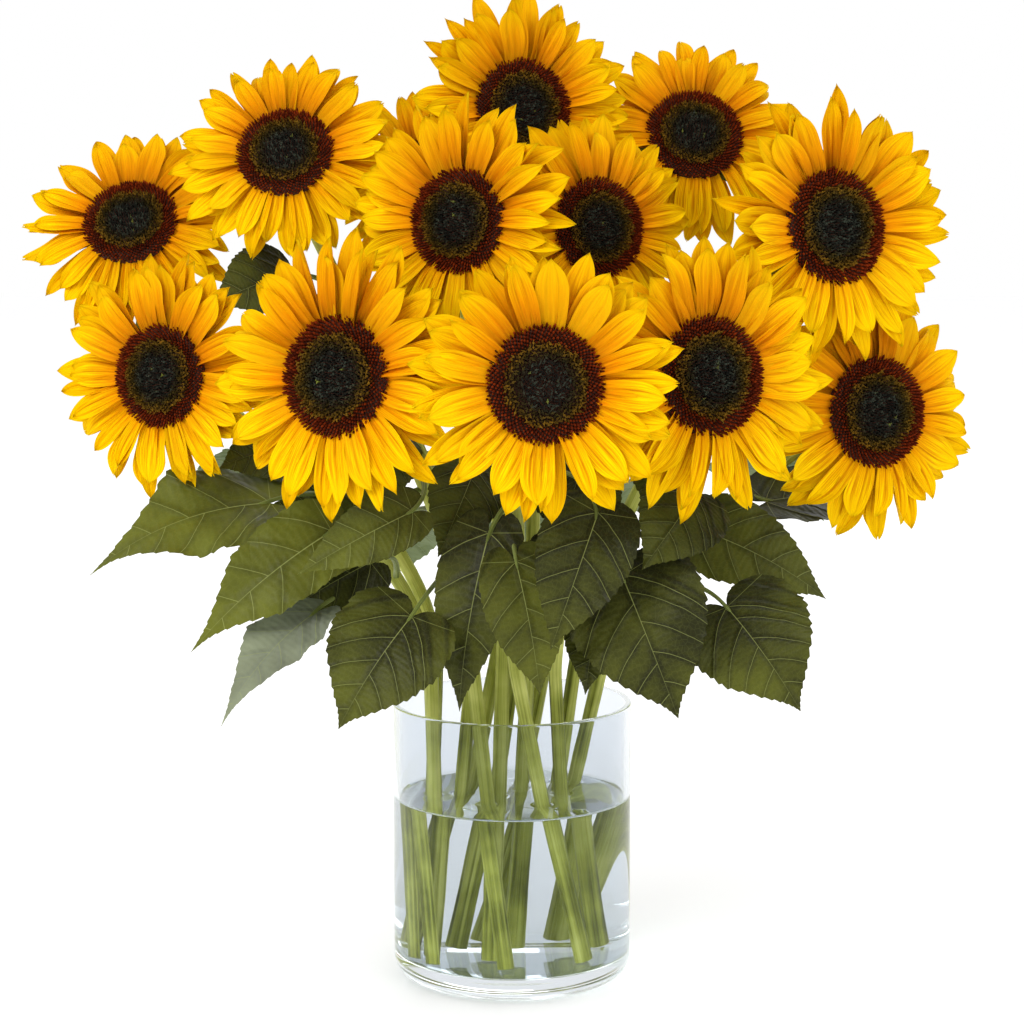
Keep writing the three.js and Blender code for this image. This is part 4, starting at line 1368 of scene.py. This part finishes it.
def floret_material():
    """Dark heart, olive ring and red-brown rim; each floret is lighter towards its tip, partly its own
    colour and partly painted shade low between the florets.
    """
    material, tree, shader = new_material("disc_floret")
    calc = partial(add_math, tree)
    reach, tone, tip = (add_attribute(tree, label) for label in ("reach", "floret_tone", "tip"))
    deep = [
        (0.38, (0.007, 0.007, 0.006)),
        (0.55, (0.020, 0.014, 0.002)),
        (0.69, (0.060, 0.030, 0.002)),
        (0.72, (0.052, 0.006, 0.001)),
        (1.0, (0.055, 0.006, 0.001)),
    ]
    light = [
        (0.38, (0.024, 0.025, 0.017)),
        (0.52, (0.060, 0.042, 0.008)),
        (0.68, (0.220, 0.112, 0.008)),
        (0.72, (0.220, 0.028, 0.003)),
        (1.0, (0.240, 0.027, 0.002)),
    ]
    zones = [add_ramp(tree, reach, steps) for steps in (deep, light)]
    # Darker low on each floret and lighter at its tip: partly its own colour, partly painted shade between
    # the florets.
    ground = add_mix(tree, calc("MULTIPLY", tip, tone), *zones)
    inner = add_range(tree, reach, 0.36, 0.5, 1.0, 0.0)
    bloom = calc("MULTIPLY", add_range(tree, tone, 0.6, 0.95, 0.0, 0.75), inner)
    green = calc("MULTIPLY", add_range(tree, tone, 0.985, 1.0, 0.0, 0.7), inner)
    bloomed = add_mix(tree, bloom, ground, (0.058, 0.070, 0.050))
    flecked = add_mix(tree, green, bloomed, (0.25, 0.27, 0.03))
    wire(shader, {"Base Color": flecked, "Roughness": 0.8, "Specular IOR Level": 0.06})
    return material


def bed_material():
    """The dark chaff between the florets."""
    material, tree, shader = new_material("disc_chaff")
    place = add(tree, "ShaderNodeTexCoord").outputs["Object"]
    grain = add(tree, "ShaderNodeTexVoronoi", {"Vector": place, "Scale": 900.0}).outputs[0]
    brown = add_ramp(tree, grain, [(0.0, (0.026, 0.007, 0.002)), (1.0, (0.070, 0.018, 0.004))])
    relief = add_bump(tree, grain, 0.6, 0.0005)
    wire(shader, {"Base Color": brown, "Normal": relief, "Roughness": 0.9})
    return material


open_floret = floret_shape(
    "open_floret", [(0.34, 0.0), (0.42, 1.2), (0.36, 2.4), (0.5, 3.1)], [0.4, 0.4 + math.pi]
)
bud = floret_shape("floret_bud", [(0.42, 0.0), (0.56, 0.9), (0.42, 1.7), (0.08, 2.3)], [])
spiral_of_florets = floret_tree()
disc_floret = floret_material()
disc_chaff = bed_material()
for name, flower in FLOWERS.items():
    disc = flower["disc"] * MM
    values = {
        "Open Floret": open_floret,
        "Bud": bud,
        "Count": FLORETS,
        "Disc Radius": disc * DISC_SHARE,
        "Floor": FLORET_FLOOR,
        "Height": CUSHION_HEIGHT,
        "Open From": FLORET_OPEN,
        "Size": disc * FLORET_SIZE,
        "Seed": 400 + int(name),
        "Material": disc_floret,
    }
    florets = grown_mesh(f"florets_{name}", spiral_of_florets, values)
    bed = turned_mesh(f"bed_{name}", [(disc * out, high * MM) for out, high in BED_PROFILE], HEAD_SIDES)
    bed.materials.append(disc_chaff)
    finish_head(f"florets_{name}", flower, [florets, bed], f"disc_{name}")

for shape in [*petal_kinds, *bract_kinds, open_floret, bud]:
    bpy.data.objects.remove(shape)

# ------------------------------------------------------------------ studio
# A plain pale floor, a white room and three large soft lights.
FLOOR_SIZE = 12.0
FLOOR_DROP = 0.5 * MM


def floor_material():
    """Smooth white board, a trace mottled."""
    material, tree, shader = new_material("pale_floor")
    place = add(tree, "ShaderNodeTexCoord").outputs["Object"]
    steps = [(0.0, (0.98, 0.98, 0.985)), (1.0, (0.99, 0.99, 0.995))]
    pale = add_ramp(tree, add_noise(tree, place, 3.0, 2.0), steps)
    wire(shader, {"Base Color": pale, "Roughness": 0.9, "Specular IOR Level": 0.1})
    return material


def soft_light(name, place, aim, size, power):
    """A large square light at a place, turned to shine on a point."""
    lamp = bpy.data.lights.new(name, "AREA")
    lamp.size = size
    lamp.energy = power
    light = new_object(name, lamp)
    light.location = place
    light.rotation_euler = (Vector(aim) - Vector(place)).to_track_quat("-Z", "Y").to_euler()


floor_mesh = bpy.data.meshes.new("floor")
corners = [(x * FLOOR_SIZE / 2, y * FLOOR_SIZE / 2, 0) for x, y in ((-1, -1), (1, -1), (1, 1), (-1, 1))]
floor_mesh.from_pydata(corners, [], [(0, 1, 2, 3)])
floor_mesh.materials.append(floor_material())
floor = new_object("floor", floor_mesh)
floor.location.z = -FLOOR_DROP

world = bpy.data.worlds.new("white_room")
world.use_nodes = True
wire(world.node_tree.nodes["Background"], {"Color": (1.0, 1.0, 1.0, 1), "Strength": 1.0})
bpy.context.scene.world = world

soft_light("key_light", (-1.6, -2.2, 2.2), (0, 0, 0.4), 1.2, 46)
soft_light("fill_light", (2.2, -1.8, 1.2), (0, 0, 0.35), 1.6, 12)
soft_light("back_light", (0.4, 2.4, 1.8), (0, 0, 0.4), 1.6, 14)
